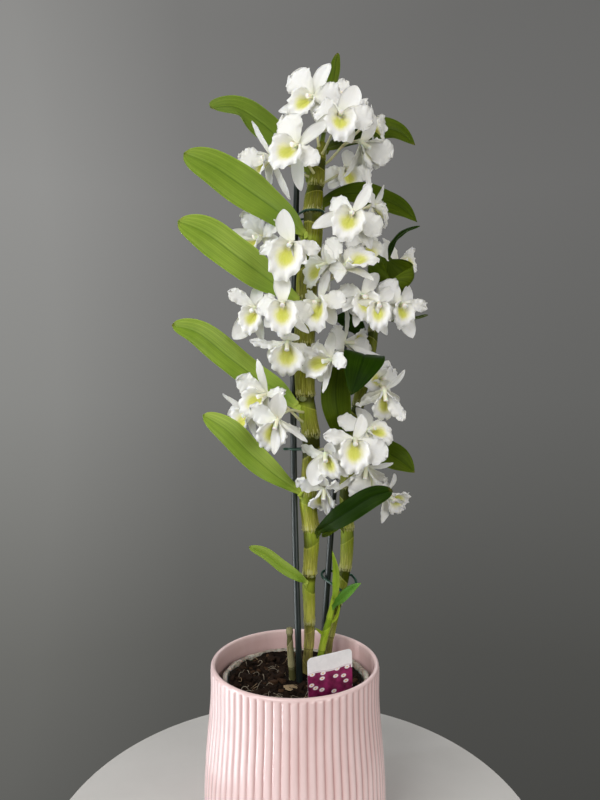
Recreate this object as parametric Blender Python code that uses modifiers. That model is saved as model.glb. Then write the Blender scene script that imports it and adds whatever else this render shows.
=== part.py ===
"""A dendrobium orchid in its pots: two canes held to stakes, their leaves and white flowers, in a
nursery pot of bark mix that stands in a ribbed ceramic cover pot. Metres, +Z up, the origin at
the centre of the cover pot's foot."""

import math

import bmesh
import bpy
from mathutils import Vector

# ------------------------------------------------------------------ driving dimensions
POT_H = 0.135          # cover pot, foot to rim
POT_RIM_R = 0.0694     # outer radius at the rim
POT_BELLY_R = 0.0744   # outer radius low down, where the pot is widest
POT_WALL = 0.0037
POT_FLOOR = 0.007
RIBS = 68              # upright ribs round the cover pot
RIB_H = 0.0012
LINER_RIM_R = 0.0605   # nursery pot, outer radius of its rim
LINER_RIM_Z = 0.1213
LINER_FOOT_R = 0.0450
LINER_WALL = 0.0012
MEDIUM_TOP = 0.1140
GAP = 0.0003           # between pieces that touch
STAKE_R = 0.00275
TEPAL = 0.0260         # length of a sepal or petal
LEAF_T = 0.0011

# The plant is laid out as it is seen from the front: a point is given by where it shows in that
# view (in view units, right and down from the top left corner) and by its depth y in metres.
EYE = Vector((0.0042, -0.5135, 0.3510))
FOCAL, MID_U, MID_V = 616.0, 300.0, 400.0


def at(u, v, y):
    d = y - EYE.y
    return Vector((EYE.x + (u - MID_U) / FOCAL * d, y, EYE.z - (v - MID_V) / FOCAL * d))


# ------------------------------------------------------------------ the plant's layout
# Each point of a cane: view u, view v, depth y, diameter in mm.
FRONT_CANE = [
    (307.0, 683, 0.0170, 8.0), (307.6, 660, 0.0170, 8.6), (309.2, 640, 0.0168, 8.8),
    (309.4, 624, 0.0166, 9.4), (309.2, 604, 0.0162, 10.2), (308.6, 586, 0.0160, 11.0),
    (309.6, 575, 0.0158, 12.0), (310.4, 560, 0.0156, 12.2), (311.4, 545, 0.0152, 13.0),
    (311.2, 530, 0.0150, 15.0), (309.2, 514, 0.0148, 14.2), (307.6, 498, 0.0146, 14.8),
    (309.2, 480, 0.0142, 14.0), (310.8, 460, 0.0140, 14.4), (311.0, 436, 0.0138, 15.6),
    (308.6, 420, 0.0135, 15.0), (306.4, 404, 0.0132, 15.0), (305.2, 392, 0.0130, 16.6),
    (304.6, 376, 0.0128, 17.0), (304.0, 350, 0.0124, 17.2), (304.8, 330, 0.0122, 17.8),
    (306.2, 300, 0.0118, 18.2), (307.6, 272, 0.0114, 18.0), (311.0, 250, 0.0112, 17.4),
    (313.4, 232, 0.0110, 16.6), (312.4, 214, 0.0108, 16.0), (314.0, 198, 0.0106, 15.8),
    (316.2, 182, 0.0104, 14.2), (318.6, 166, 0.0102, 12.0), (320.8, 152, 0.0100, 9.6),
    (322.2, 143, 0.0100, 6.6),
]
REAR_CANE = [
    (327.0, 680, 0.0370, 5.6), (328.0, 660, 0.0368, 5.6), (329.6, 645, 0.0366, 5.8),
    (332.4, 630, 0.0364, 6.0), (336.0, 612, 0.0360, 6.6), (339.6, 596, 0.0356, 8.0),
    (343.0, 580, 0.0352, 9.8), (345.8, 564, 0.0350, 10.8), (347.0, 545, 0.0346, 11.4),
    (347.2, 528, 0.0344, 12.2), (346.4, 510, 0.0342, 11.4), (346.0, 492, 0.0340, 11.6),
    (347.6, 470, 0.0340, 11.4), (350.6, 448, 0.0340, 11.6), (354.6, 424, 0.0340, 11.2),
    (359.8, 398, 0.0340, 11.2), (365.4, 372, 0.0340, 10.6), (370.4, 350, 0.0340, 10.2),
    (373.2, 332, 0.0340, 9.8), (377.0, 312, 0.0340, 9.2), (381.4, 292, 0.0340, 8.4),
    (385.0, 276, 0.0340, 7.4), (387.6, 262, 0.0340, 5.6),
]
YOUNG_SHOOT = [
    (318.0, 684, 0.0250, 5.0), (319.0, 668, 0.0250, 5.6), (321.2, 653, 0.0248, 6.2),
    (324.8, 636, 0.0244, 6.2), (329.4, 619, 0.0240, 5.8), (332.8, 604, 0.0236, 5.0),
    (335.0, 592, 0.0232, 3.6),
]
OLD_STUB = [
    (293.6, 698, 0.0080, 6.0), (293.0, 682, 0.0080, 6.4), (291.4, 662, 0.0080, 6.0),
    (290.2, 646, 0.0080, 5.4), (289.8, 637, 0.0080, 5.0), (289.6, 632, 0.0080, 6.0),
    (289.6, 628, 0.0080, 5.2),
]
# The internodes' ends on each cane, by view v, where the ring of a node shows.
FRONT_NODES = [648, 622, 578, 532, 494, 434, 395, 345, 300, 256, 213, 186, 160]
REAR_NODES = [636, 602, 568, 528, 486, 446, 404, 362, 330, 296]

# Each leaf: name, midrib from base to tip as (u, v, y), width in mm, the way its upper face looks,
# the fold along its midrib in degrees, and the cane and view v of its node.
LEAVES = [
    ("leaf_01_top", [(322.5, 142, 0.016), (329, 112, 0.034), (333.5, 82, 0.042), (337.5, 53, 0.040)], 19, (-0.75, -0.6, 0.1), 14),
    ("leaf_02_upper_left", [(310.5, 172, 0.016), (286, 146, 0.024), (262, 124, 0.022), (236, 108, 0.010), (211, 108, -0.010)], 31, (0.1, -1, 0.45), 10),
    ("leaf_03_left", [(302.4, 232, 0.0032), (281, 214, -0.006), (250, 192, -0.016), (215, 168, -0.022), (184, 153, -0.024)], 37, (0.15, -1, 0.35), 9),
    ("leaf_04_left", [(296.0, 300, 0.0030), (270, 281, -0.004), (240, 259, -0.014), (206, 234, -0.022), (178, 221, -0.026)], 34, (0.1, -1, 0.4), 9),
    ("leaf_05_left", [(295.4, 405, 0.0082), (280, 392, 0.004), (256, 378, 0.004), (228, 357, -0.004), (199, 334, -0.014), (172, 325, -0.022)], 27, (0.1, -1, 0.45), 14),
    ("leaf_06_left", [(299.0, 491, 0.0078), (276, 476, 0.000), (250, 454, -0.012), (227, 431, -0.022), (203, 415, -0.028)], 24, (0.2, -1, 0.5), 16),
    ("leaf_07_low_left", [(305.8, 581.5, 0.0088), (298.5, 577, 0.0036), (283, 567, -0.001), (266, 554, -0.006), (249, 547, -0.012)], 10.5, (0.1, -1, 0.5), 14),
    ("leaf_08_upper_right", [(327.4, 148, 0.018), (348, 140, 0.042), (372, 130, 0.053), (396, 131, 0.050), (415, 145, 0.038)], 25, (0, -1, 0.25), 10),
    ("leaf_09_right", [(321.0, 206, 0.018), (337, 196, 0.030), (362, 194, 0.034), (388, 200, 0.034), (404, 209, 0.032), (417, 222, 0.030)], 21, (0, -1, 0.35), 12),
    ("leaf_10_thin_right", [(389.5, 257, 0.034), (393, 246, 0.036), (400, 236, 0.036), (410, 230, 0.034), (420, 226, 0.030)], 9, (-0.5, -0.35, 0.75), 10),
    ("leaf_11_folded_right", [(390.0, 262, 0.028), (388, 263, 0.017), (389, 271, 0.007), (392, 283, 0.000), (396, 293.5, -0.007)], 32, (0.05, -0.55, 1), 56),
    ("leaf_12_behind_right", [(382.0, 318, 0.040), (396, 321, 0.044), (412, 319, 0.044), (428, 315, 0.040)], 10, (0, -0.5, 1), 12),
    ("leaf_13_dark_folded", [(366.5, 367, 0.0265), (366, 366, 0.012), (362, 370, -0.010), (356, 380, -0.022), (350.5, 394, -0.028)], 32, (0.30, -0.70, 0.75), 32),
    ("leaf_14_centre", [(343.6, 447, 0.0262), (340, 425, 0.020), (336, 402, 0.018), (336, 384, 0.018), (339, 366, 0.024)], 26, (0, -1, 0.1), 10),
    ("leaf_15_right", [(360.8, 450, 0.036), (374, 444, 0.036), (394, 450, 0.030), (406, 460, 0.026), (414.5, 473, 0.022)], 21, (0, -1, 0.3), 10),
    ("leaf_16_low_right", [(319.8, 530, 0.0072), (333, 518, -0.008), (356, 506, -0.018), (376, 499, -0.022), (393, 492, -0.024)], 24, (0.1, -1, 0.3), 16),
    ("leaf_17_rear_small", [(341.2, 526, 0.030), (334, 529, 0.022), (328, 533, 0.019), (322.5, 537, 0.014)], 8, (0, -0.6, 1), 16),
    ("leaf_18_behind", [(364.2, 338, 0.034), (356, 326, 0.034), (346, 320, 0.034), (334, 318, 0.032)], 18, (0, -1, 0.2), 10),
]
SHOOT_LEAVES = [
    [(335.0, 597, 0.0188), (336.4, 584, 0.017), (336.0, 568, 0.015), (332.4, 551, 0.010)],
    [(336.8, 603, 0.0178), (343, 597, 0.014), (352, 589, 0.010), (361, 583, 0.004)],
]

# Each flower: name, centre u, v, depth y, yaw, pitch and roll in degrees (yaw 0 faces the viewer, roll turns the top
# sepal clockwise), the tips that show (u, v, width in view units) of D the top sepal, P the petals and S the lower
# sepals on its left (L) and right (R), the lip's middle (u, v), and the cane and view v where its stalk grows.
FLOWERS = [
    ("f01", 313, 97, -0.004, -22, -5, 28, dict(D=(330, 63, 15), PL=(290, 75, 26), SL=(278, 111, 10)), (304, 105), ("F", 150)),
    ("f02", 340, 114, -0.030, 4, 0, 18, dict(D=(357, 85, 20), PL=(315, 112, 22), PR=(373, 122, 24)), (339, 127), ("F", 156)),
    ("f03", 337, 101, 0.018, 30, 45, -10, dict(D=(329, 86, 20), PR=(345, 79, 12)), (342, 98), ("F", 146)),
    ("f04", 297, 146, -0.026, -16, 0, 50, dict(D=(329, 122, 13), PL=(284, 115, 25), PR=(318, 163, 17), SR=(301, 191, 13)), (289, 154), ("F", 176)),
    ("f05", 271, 157, 0.000, -55, 0, -22, dict(D=(251, 121, 8), PL=(239, 160, 22), SR=(290, 200, 10)), (264, 165), ("F", 178)),
    ("f06", 370, 124, 0.016, 75, 10, 0, dict(D=(373, 107, 14), PR=(384, 124, 18), SR=(374, 140, 14)), (378, 122), ("F", 164)),
    ("f07", 362, 143, -0.008, 40, -35, 10, dict(PL=(358, 165, 22), PR=(391, 158, 22), SL=(344, 178, 7), SR=(371, 196, 5)), (374, 152), ("F", 164)),
    ("f08", 347, 169, 0.051, 10, -10, 0, dict(PL=(323, 178, 14), PR=(372, 170, 16), D=(349, 150, 14)), (348, 180), ("F", 182)),
    ("f09", 353, 213, -0.028, -6, 0, 36, dict(D=(370, 184, 12), PL=(331, 203, 18), SL=(312, 228, 14), PR=(381, 233, 21), SR=(371, 249, 13)), (347, 229), ("F", 226)),
    ("f10", 374, 206, 0.010, 72, 5, 5, dict(D=(384, 185, 9), PR=(384, 214, 16), SR=(383, 225, 10)), (380, 210), ("F", 228)),
    ("f11", 366, 244, 0.040, 20, -5, 0, dict(PL=(346, 244, 16), PR=(376, 246, 14)), (367, 252), ("R", 268)),
    ("f12", 345, 268, -0.028, 10, 42, 0, dict(PL=(326, 243, 14), PR=(364, 247, 12), SR=(374, 280, 11), SL=(338, 281, 10)), (352, 266), ("F", 284)),
    ("f13", 327, 264, -0.018, -60, -10, -20, dict(PL=(309, 258, 16), D=(322, 244, 9)), (318, 268), ("F", 284)),
    ("f14", 398, 262, 0.053, 50, 10, 10, dict(D=(383, 238, 12), PR=(415, 248, 9), SR=(414, 280, 8)), (406, 262), ("R", 272)),
    ("f15", 262, 237, 0.008, -42, 5, -25, dict(D=(262, 219, 14), PL=(246, 210, 19), SL=(229, 232, 11), PR=(278, 223, 13)), (253, 245), ("F", 254)),
    ("f16", 291, 243, -0.034, -6, -10, -10, dict(D=(283, 209, 18), PL=(260, 252, 12), PR=(320, 249, 13), SR=(306, 264, 11)), (287, 257), ("F", 256)),
    ("f17", 256, 309, -0.012, -18, 0, -5, dict(D=(257, 285, 14), PL=(228, 291, 13), SL=(233, 339, 20), PR=(276, 302, 16), SR=(262, 342, 10)), (254, 321), ("F", 322)),
    ("f18", 283, 303, -0.036, -2, -4, -3, dict(D=(281, 272, 17), PL=(257, 309, 17), PR=(311, 318, 20), SR=(309, 333, 9)), (283, 319), ("F", 322)),
    ("f19", 320, 300, -0.022, -34, -4, 12, dict(D=(328, 270, 11), PL=(306, 298, 15), PR=(346, 301, 17)), (323, 317), ("F", 306)),
    ("f20", 363, 296, -0.024, 2, 2, 38, dict(D=(378, 273, 14), PL=(339, 290, 15), PR=(378, 311, 15), SR=(355, 327, 10), SL=(343, 311, 10)), (364, 301), ("R", 318)),
    ("f21", 378, 303, -0.030, 2, -6, 30, dict(D=(393, 289, 14), PR=(397, 318, 12), SR=(387, 335, 10), PL=(368, 293, 10)), (377, 315), ("R", 318)),
    ("f22", 400, 304, -0.011, 24, -4, 22, dict(D=(412, 289, 16), PR=(427, 308, 12), SR=(413, 338, 18)), (397, 318), ("R", 318)),
    ("f23", 287, 342, -0.024, 0, -34, 0, dict(PL=(250, 341, 9), PR=(318, 355, 12), D=(290, 334, 18)), (287, 355), ("F", 362)),
    ("f24", 331, 360, -0.020, -38, -6, 2, dict(D=(332, 332, 13), PR=(345, 363, 15), SR=(322, 393, 7)), (320, 363), ("F", 372)),
    ("f25", 345, 342, 0.012, 62, -12, -5, dict(D=(347, 305, 9), PR=(370, 352, 20), SR=(384, 358, 7)), (358, 342), ("R", 372)),
    ("f26", 266, 395, -0.020, -36, 0, -12, dict(D=(257, 359, 10), PL=(237, 378, 20), PR=(285, 391, 10), SR=(268, 414, 9)), (258, 400), ("F", 422)),
    ("f27", 252, 413, 0.002, -52, -6, -15, dict(PL=(229, 416, 18), D=(222, 394, 4), SL=(256, 440, 14)), (244, 419), ("F", 422)),
    ("f28", 277, 420, -0.031, -6, -34, 8, dict(PR=(300, 431, 10), SR=(307, 443, 8), SL=(274, 455, 10)), (272, 433), ("F", 412)),
    ("f29", 381, 379, 0.018, 28, 8, 30, dict(PR=(397, 374, 17), SL=(377, 402, 9), PL=(368, 392, 8), D=(390, 361, 14)), (370, 382), ("R", 402)),
    ("f30", 384, 391, -0.006, 8, -46, 0, dict(D=(405, 370, 5), PL=(356, 405, 7), PR=(404, 420, 13)), (386, 408), ("R", 402)),
    ("f31", 368, 430, 0.010, 25, 25, 0, dict(D=(358, 407, 18), PR=(391, 437, 22), PL=(338, 418, 16)), (378, 436), ("R", 444)),
    ("f32", 355, 440, -0.030, 0, -2, 8, dict(D=(362, 414, 13), PL=(324, 435, 14), PR=(386, 458, 24)), (353, 456), ("R", 446)),
    ("f33", 326, 454, -0.018, -14, -22, 0, dict(D=(331, 443, 12), PL=(302, 447, 13), SL=(312, 486, 20), SR=(348, 477, 11)), (331, 463), ("F", 452)),
    ("f34", 366, 468, -0.010, -10, -52, 10, dict(SL=(334, 494, 5), PL=(357, 503, 22), PR=(384, 482, 18), D=(393, 463, 9)), (364, 484), ("R", 470)),
    ("f36", 386, 494, 0.016, 45, -30, 10, dict(D=(395, 474, 8), PR=(405, 510, 12), SR=(383, 524, 13)), (395, 500), ("R", 490)),
    ("f37", 324, 488, -0.006, -5, -60, 0, dict(SL=(320, 512, 9), SR=(327, 515, 9), D=(321, 476, 10), PR=(336, 482, 10)), (323, 500), ("F", 470)),
]
# Flowers that grow on one shared stalk.
SHARED = [("f01", "f03"), ("f06", "f07"), ("f12", "f13"), ("f15", "f16"), ("f17", "f18"), ("f20", "f21"), ("f26", "f27"), ("f29", "f30"), ("f31", "f32"), ("f34", "f36")]


BY_NAME = {f[0]: f for f in FLOWERS}
PARTNER = dict(SHARED)
FIRST_OF = {b: a for a, b in SHARED}


# ------------------------------------------------------------------ set up
for o in list(bpy.data.objects):
    bpy.data.objects.remove(o)

scene = bpy.context.scene
PLANT = bpy.data.collections.new("dendrobium_orchid")
CUTTERS = bpy.data.collections.new("cutters")
scene.collection.children.link(PLANT)
scene.collection.children.link(CUTTERS)


def material(name, colour, roughness, metallic=0.0):
    m = bpy.data.materials.new(name)
    m.use_nodes = True
    p = m.node_tree.nodes["Principled BSDF"]
    p.inputs["Base Color"].default_value = (*colour, 1)
    p.inputs["Roughness"].default_value = roughness
    p.inputs["Metallic"].default_value = metallic
    return m


GLAZE = material("pink_glaze", (0.80, 0.56, 0.55), 0.22)
LINER = material("pale_plastic", (0.72, 0.70, 0.64), 0.45)
BARK = material("bark_mix", (0.055, 0.032, 0.018), 0.95)
CANE = material("cane_green", (0.23, 0.27, 0.06), 0.45)
SHOOT = material("shoot_green", (0.24, 0.42, 0.04), 0.42)
DRY = material("dry_cane", (0.34, 0.28, 0.16), 0.8)
STAKE = material("stake_green", (0.012, 0.03, 0.022), 0.4)
LEAF = material("leaf_green", (0.10, 0.22, 0.03), 0.4)
PETAL = material("white_petal", (0.86, 0.86, 0.82), 0.55)
LABEL = material("label_white", (0.85, 0.85, 0.85), 0.4)


def add(name, data, mat, collection=None):
    o = bpy.data.objects.new(name, data)
    (collection or PLANT).objects.link(o)
    if mat is not None:
        o.data.materials.append(mat)
    return o


def smooth(o, degrees=40):
    o.data.shade_smooth()
    o.data.set_sharp_from_angle(angle=math.radians(degrees))


def turned(name, profile, mat, steps, collection=None):
    """A profile in the XZ plane, outer side top to bottom, turned about Z."""
    me = bpy.data.meshes.new(name)
    me.from_pydata([(r, 0, z) for r, z in profile], [(i, i + 1) for i in range(len(profile) - 1)], [])
    o = add(name, me, mat, collection)
    s = o.modifiers.new("turn", "SCREW")
    s.steps = s.render_steps = steps
    s.use_merge_vertices = True
    s.merge_threshold = 0.00005
    s.use_smooth_shade = True
    return o


def rod(name, points, radii, mat, sides=2, cyclic=False, collection=None):
    """A curve with a round section, whose radius may change along it."""
    cu = bpy.data.curves.new(name, "CURVE")
    cu.dimensions = "3D"
    cu.bevel_depth = 1.0
    cu.bevel_resolution = sides
    cu.use_fill_caps = not cyclic
    cu.twist_mode = "MINIMUM"
    s = cu.splines.new("POLY")
    s.points.add(len(points) - 1)
    s.use_cyclic_u = cyclic
    s.use_smooth = True
    for p, co, r in zip(s.points, points, radii):
        p.co = (*co, 1)
        p.radius = r
    return add(name, cu, mat, collection)


def as_mesh(o):
    """The same shape as a mesh with its caps welded."""
    graph = bpy.context.evaluated_depsgraph_get()
    me = bpy.data.meshes.new_from_object(o.evaluated_get(graph))
    bm = bmesh.new()
    bm.from_mesh(me)
    bmesh.ops.remove_doubles(bm, verts=bm.verts, dist=0.00002)
    bm.normal_update()
    bmesh.ops.recalc_face_normals(bm, faces=bm.faces)
    bm.to_mesh(me)
    bm.free()
    new = bpy.data.objects.new(o.name + "_m", me)
    for c in o.users_collection:
        c.objects.link(new)
    new.matrix_world = o.matrix_world
    name = o.name
    bpy.data.objects.remove(o)
    new.name = name
    return new


def boolean(o, other, operation, keep_self=False):
    m = o.modifiers.new(operation.lower(), "BOOLEAN")
    m.object = other
    m.operation = operation
    m.solver = "EXACT"
    m.use_self = keep_self
    return m


def spline_points(points, n):
    """n + 1 points spaced evenly in parameter on a Catmull-Rom curve through the given ones."""
    pts = [Vector(p) for p in points]
    pts = [pts[0] * 2 - pts[1]] + pts + [pts[-1] * 2 - pts[-2]]
    spans = len(pts) - 3
    out = []
    for k in range(n + 1):
        t = k / n * spans
        i = min(int(t), spans - 1)
        t -= i
        a, b, c, d = pts[i:i + 4]
        out.append(0.5 * ((2 * b) + (c - a) * t + (2 * a - 5 * b + 4 * c - d) * t * t + (3 * b - a - 3 * c + d) * t ** 3))
    return out


# ------------------------------------------------------------------ cover pot, nursery pot
def cover_pot():
    """A hollow pot whose outer wall has soft upright ribs under a plain rim."""
    r, w = POT_RIM_R, POT_WALL
    outer = [
        (r - w, POT_H - 0.0022), (r - w * 0.5, POT_H), (r, POT_H - 0.0022), (r + 0.0001, POT_H - 0.0050),
        (r, POT_H - 0.0085), (r - 0.0001, 0.109), (r + 0.0009, 0.093), (r + 0.0038, 0.059), (POT_BELLY_R, 0.034), (POT_BELLY_R - 0.0004, 0.009),
        (POT_BELLY_R - 0.0026, 0.0024), (POT_BELLY_R - 0.0070, 0.0), (0.0, 0.0),
    ]
    inner = [(0.0, POT_FLOOR), (POT_BELLY_R - w - 0.004, POT_FLOOR), (POT_BELLY_R - w - 0.0002, POT_FLOOR + 0.010), (r - w, POT_H - 0.0022)]
    o = as_mesh(turned("cover_pot", outer + inner, GLAZE, RIBS * 2))
    for v in o.data.vertices:
        radius = math.hypot(v.co.x, v.co.y)
        if radius > POT_RIM_R - 0.0008 and 0.005 < v.co.z < POT_H - 0.0052:
            k = round(math.atan2(v.co.y, v.co.x) / (math.pi / RIBS))
            s = RIB_H / radius * (0.5 if k % 2 else -0.5)
            v.co.x += v.co.x * s
            v.co.y += v.co.y * s
    smooth(o, 25)
    return o


def nursery_pot():
    foot = POT_FLOOR + GAP
    w, rr = LINER_WALL, LINER_RIM_R
    inner_top = rr - 0.0026
    profile = [
        (inner_top - w, LINER_RIM_Z), (rr, LINER_RIM_Z), (rr, LINER_RIM_Z - 0.0035), (inner_top + 0.0002, LINER_RIM_Z - 0.0045),
        (LINER_FOOT_R, foot + 0.002), (LINER_FOOT_R - 0.0015, foot), (0.0, foot),
    ]
    inside = [(0.0, foot + w), (LINER_FOOT_R - 0.0015 - w * 0.5, foot + w), (LINER_FOOT_R - w, foot + 0.0035), (inner_top - w, LINER_RIM_Z)]
    return turned("nursery_pot", profile + inside, LINER, 36)


def liner_inner(z):
    """The nursery pot's inner radius at a height."""
    foot = POT_FLOOR + GAP
    a = (LINER_FOOT_R - LINER_WALL, foot + 0.0035)
    b = (LINER_RIM_R - 0.0026 - LINER_WALL, LINER_RIM_Z)
    t = (z - a[1]) / (b[1] - a[1])
    return a[0] + (b[0] - a[0]) * t


cover_pot()
nursery_pot()

z0 = POT_FLOOR + GAP + LINER_WALL + GAP
g = 0.0006
medium_profile = [
    (0.0, MEDIUM_TOP), (liner_inner(MEDIUM_TOP) - g - 0.003, MEDIUM_TOP), (liner_inner(MEDIUM_TOP - 0.002) - g, MEDIUM_TOP - 0.002),
    (liner_inner(z0 + 0.004) - g, z0 + 0.004), (LINER_FOOT_R - 0.0040, z0), (0.0, z0),
]
medium = turned("growing_medium", medium_profile, BARK, 28)

# ------------------------------------------------------------------ canes, stakes
CUT_R = GAP + 0.0002


def cane(name, table, mat, depth, sides=3, nodes=(), swell=0.06):
    """A jointed cane: it swells a little below each node and is pinched just above it."""
    pts, radii = [], []
    for (u, v, y, d) in table:
        pts.append(at(u, v, y))
        radii.append(d / 2000)
    # the foot goes down into the medium
    foot = pts[0].copy()
    k = next(i for i, p in enumerate(pts) if p.z > MEDIUM_TOP + 0.002)
    pts, radii = pts[k:], radii[k:]
    low = pts[0].copy()
    low.z = MEDIUM_TOP - depth
    mid = pts[0].copy()
    mid.z = MEDIUM_TOP - 0.001
    pts = [low, mid] + pts
    radii = [radii[0] * 0.9, radii[0]] + radii
    return rod(name, pts, radii, mat, sides), pts, radii


front, FP, FR = cane("front_cane", FRONT_CANE, CANE, 0.018)
rear, RP, RR = cane("rear_cane", REAR_CANE, CANE, 0.018)
shoot, SP, SR_ = cane("young_shoot", YOUNG_SHOOT, SHOOT, 0.012)
stub, OP, OR_ = cane("old_cane_stub", OLD_STUB, DRY, 0.012, sides=2)


def stake(name, u0, v0, y0, u1, v1, y1, foot_z, bow=0.0, radius=STAKE_R):
    a, b = at(u0, v0, y0), at(u1, v1, y1)
    n = 10
    pts = []
    for i in range(n + 1):
        t = i / n
        p = a.lerp(b, t)
        p.x += bow * math.sin(math.pi * t)
        pts.append(p)
    # straight down through the medium
    down = (pts[0] - pts[1]).normalized()
    s = (pts[0].z - foot_z) / -down.z
    low = pts[0] + down * s
    rod(name, [low] + pts + [pts[-1] + (pts[-1] - pts[-2]).normalized() * 0.001], [radius * 0.5] + [radius] * len(pts) + [radius * 0.4], STAKE, 2)
    return low, pts[0], pts


SL_low, SL_top, SLP = stake("stake_left", 299.4, 672, 0.0030, 297.2, 172, 0.0300, 0.022, bow=-0.0042)
SR_low, SR_top, SRP = stake("stake_right", 322.6, 652, 0.0420, 346.0, 318, 0.0480, 0.040)


def cutter_rod(name, a, b, r):
    o = rod(name, [a, b], [r, r], None, 3, collection=CUTTERS)
    o = as_mesh(o)
    o.hide_render = True
    o.display_type = "WIRE"
    return o


def hole_for(i, a, b, r):
    d = (b - a).normalized()
    c = cutter_rod("hole_%d" % i, a - d * 0.0015, b + d * 0.02, r + CUT_R)
    boolean(medium, c, "DIFFERENCE")


hole_for(1, SL_low, SL_top, STAKE_R)
hole_for(2, SR_low, SR_top, STAKE_R)
for i, pts, rr in ((3, FP, FR), (4, RP, RR), (5, SP, SR_), (6, OP, OR_)):
    a = pts[0].copy()
    b = pts[1].copy()
    hole_for(i, a, b, max(rr[:3]))

# ------------------------------------------------------------------ plant label
LAB_TL, LAB_TR = at(307.3, 658.9, -0.042), at(351.7, 648.2, -0.026)


def label():
    right = (LAB_TR - LAB_TL).normalized()
    width = (LAB_TR - LAB_TL).length
    down = Vector((0, 0.05, -1))
    down = (down - right * down.dot(right)).normalized()
    normal = right.cross(down)
    cr = 0.0035
    outline = []
    for cx, cy, a0 in ((cr, cr, 180), (width - cr, cr, 270)):
        for k in range(4):
            a = math.radians(a0 + 30 * k)
            outline.append((cx + cr * math.cos(a), -(cy + cr * math.sin(a))))
    body_h, stick_w, stick_h = 0.046, 0.014, 0.088
    outline += [
        (width, -body_h), (width / 2 + stick_w / 2, -body_h - 0.008), (width / 2 + stick_w * 0.36, -stick_h + 0.01),
        (width / 2, -stick_h), (width / 2 - stick_w * 0.36, -stick_h + 0.01), (width / 2 - stick_w / 2, -body_h - 0.008), (0, -body_h),
    ]
    cu = bpy.data.curves.new("plant_label", "CURVE")
    cu.dimensions = "2D"
    cu.fill_mode = "BOTH"
    cu.extrude = 0.0004
    s = cu.splines.new("POLY")
    s.points.add(len(outline) - 1)
    for p, (x, y) in zip(s.points, outline):
        p.co = (x, y, 0, 1)
    s.use_cyclic_u = True
    o = add("plant_label", cu, LABEL)
    m = o.matrix_world.copy()
    for r in range(3):
        m[r][0], m[r][1], m[r][2], m[r][3] = right[r], -down[r], right.cross(-down)[r], LAB_TL[r]
    o.matrix_world = m
    return right, down, width


LAB_RIGHT, LAB_DOWN, LAB_W = label()
slot_mesh = bpy.data.meshes.new("hole_label")
bm = bmesh.new()
bmesh.ops.create_cube(bm, size=1.0)
lab_normal = LAB_RIGHT.cross(LAB_DOWN)
mid = LAB_TL + LAB_RIGHT * (LAB_W / 2) + LAB_DOWN * 0.066
for v in bm.verts:
    x, y, z = v.co
    v.co = mid + LAB_RIGHT * (x * (LAB_W + 0.0012)) + LAB_DOWN * (y * 0.056) + lab_normal * (z * 0.0018)
bm.to_mesh(slot_mesh)
bm.free()
slot_cutter = add("hole_label", slot_mesh, None, CUTTERS)
slot_cutter.hide_render = True
slot_cutter.display_type = "WIRE"
boolean(medium, slot_cutter, "DIFFERENCE")


# ------------------------------------------------------------------ leaves
def leaf_frame(points, n, face):
    """Centre, direction, across and up for each station of a leaf."""
    c = spline_points([at(*p) for p in points], n)
    face = Vector(face).normalized()
    out = []
    for i, p in enumerate(c):
        t = (c[min(i + 1, n)] - c[max(i - 1, 0)]).normalized()
        up = (face - t * face.dot(t)).normalized()
        out.append((p, t, t.cross(up), up))
    return out


def leaf_width(t):
    """Half-width along a leaf, as a share of its greatest: narrow where it clasps the cane, widest past the middle, blunt at the tip."""
    a = min(1.0, 0.24 + 0.76 * math.sin(math.pi / 2 * min(1, t / 0.52)) ** 1.2)
    b = 1.0 if t < 0.56 else math.sqrt(max(0.0, 1 - ((t - 0.56) / 0.445) ** 2.3))
    return max(a * b, 0.07)


def leaf(name, points, width, face, fold, mat=LEAF, nu=8, nv=4):
    me = bpy.data.meshes.new(name)
    bm = bmesh.new()
    bmesh.ops.create_grid(bm, x_segments=nu, y_segments=nv, size=1.0)
    fr = leaf_frame(points, nu, face)
    half = width / 2000
    for v in bm.verts:
        i = round((v.co.x + 1) / 2 * nu)
        s = v.co.y
        p, t, across, up = fr[i]
        w = half * leaf_width(i / nu)
        a = math.radians(fold)
        v.co = p + across * (s * w * math.cos(a)) + up * (abs(s) ** 1.5 * w * math.sin(a))
    bm.normal_update()
    bmesh.ops.recalc_face_normals(bm, faces=bm.faces)
    bm.to_mesh(me)
    bm.free()
    o = add(name, me, mat)
    m = o.modifiers.new("thickness", "SOLIDIFY")
    m.thickness = LEAF_T
    m.offset = 0
    return o


for name, points, width, face, fold in LEAVES:
    leaf(name, points, width, face, fold)
leaf("shoot_leaf_upright", SHOOT_LEAVES[0], 7.0, (-0.5, -1, 0.2), 18, SHOOT, 6, 2)
leaf("shoot_leaf_right", SHOOT_LEAVES[1], 7.5, (-0.2, -1, 0.6), 18, SHOOT, 6, 2)


# ------------------------------------------------------------------ flowers
def cane_point(which, v):
    """The centre and radius of a cane at a view height."""
    table = FRONT_CANE if which == "F" else REAR_CANE
    for (u0, v0, y0, d0), (u1, v1, y1, d1) in zip(table, table[1:]):
        if v1 <= v <= v0:
            t = (v0 - v) / (v0 - v1)
            return at(u0 + (u1 - u0) * t, v, y0 + (y1 - y0) * t), (d0 + (d1 - d0) * t) / 2000
    raise ValueError(v)


def cane_near(which, z):
    """The centre and radius of a cane at a height."""
    table = FRONT_CANE if which == "F" else REAR_CANE
    pts = [(at(u, v, y), d / 2000) for u, v, y, d in table]
    for (a, ra), (b, rb) in zip(pts, pts[1:]):
        if a.z <= z <= b.z:
            t = (z - a.z) / (b.z - a.z)
            return a.lerp(b, t), ra + (rb - ra) * t
    return pts[-1][0] if z > pts[-1][0].z else pts[0][0], 0.0


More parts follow.
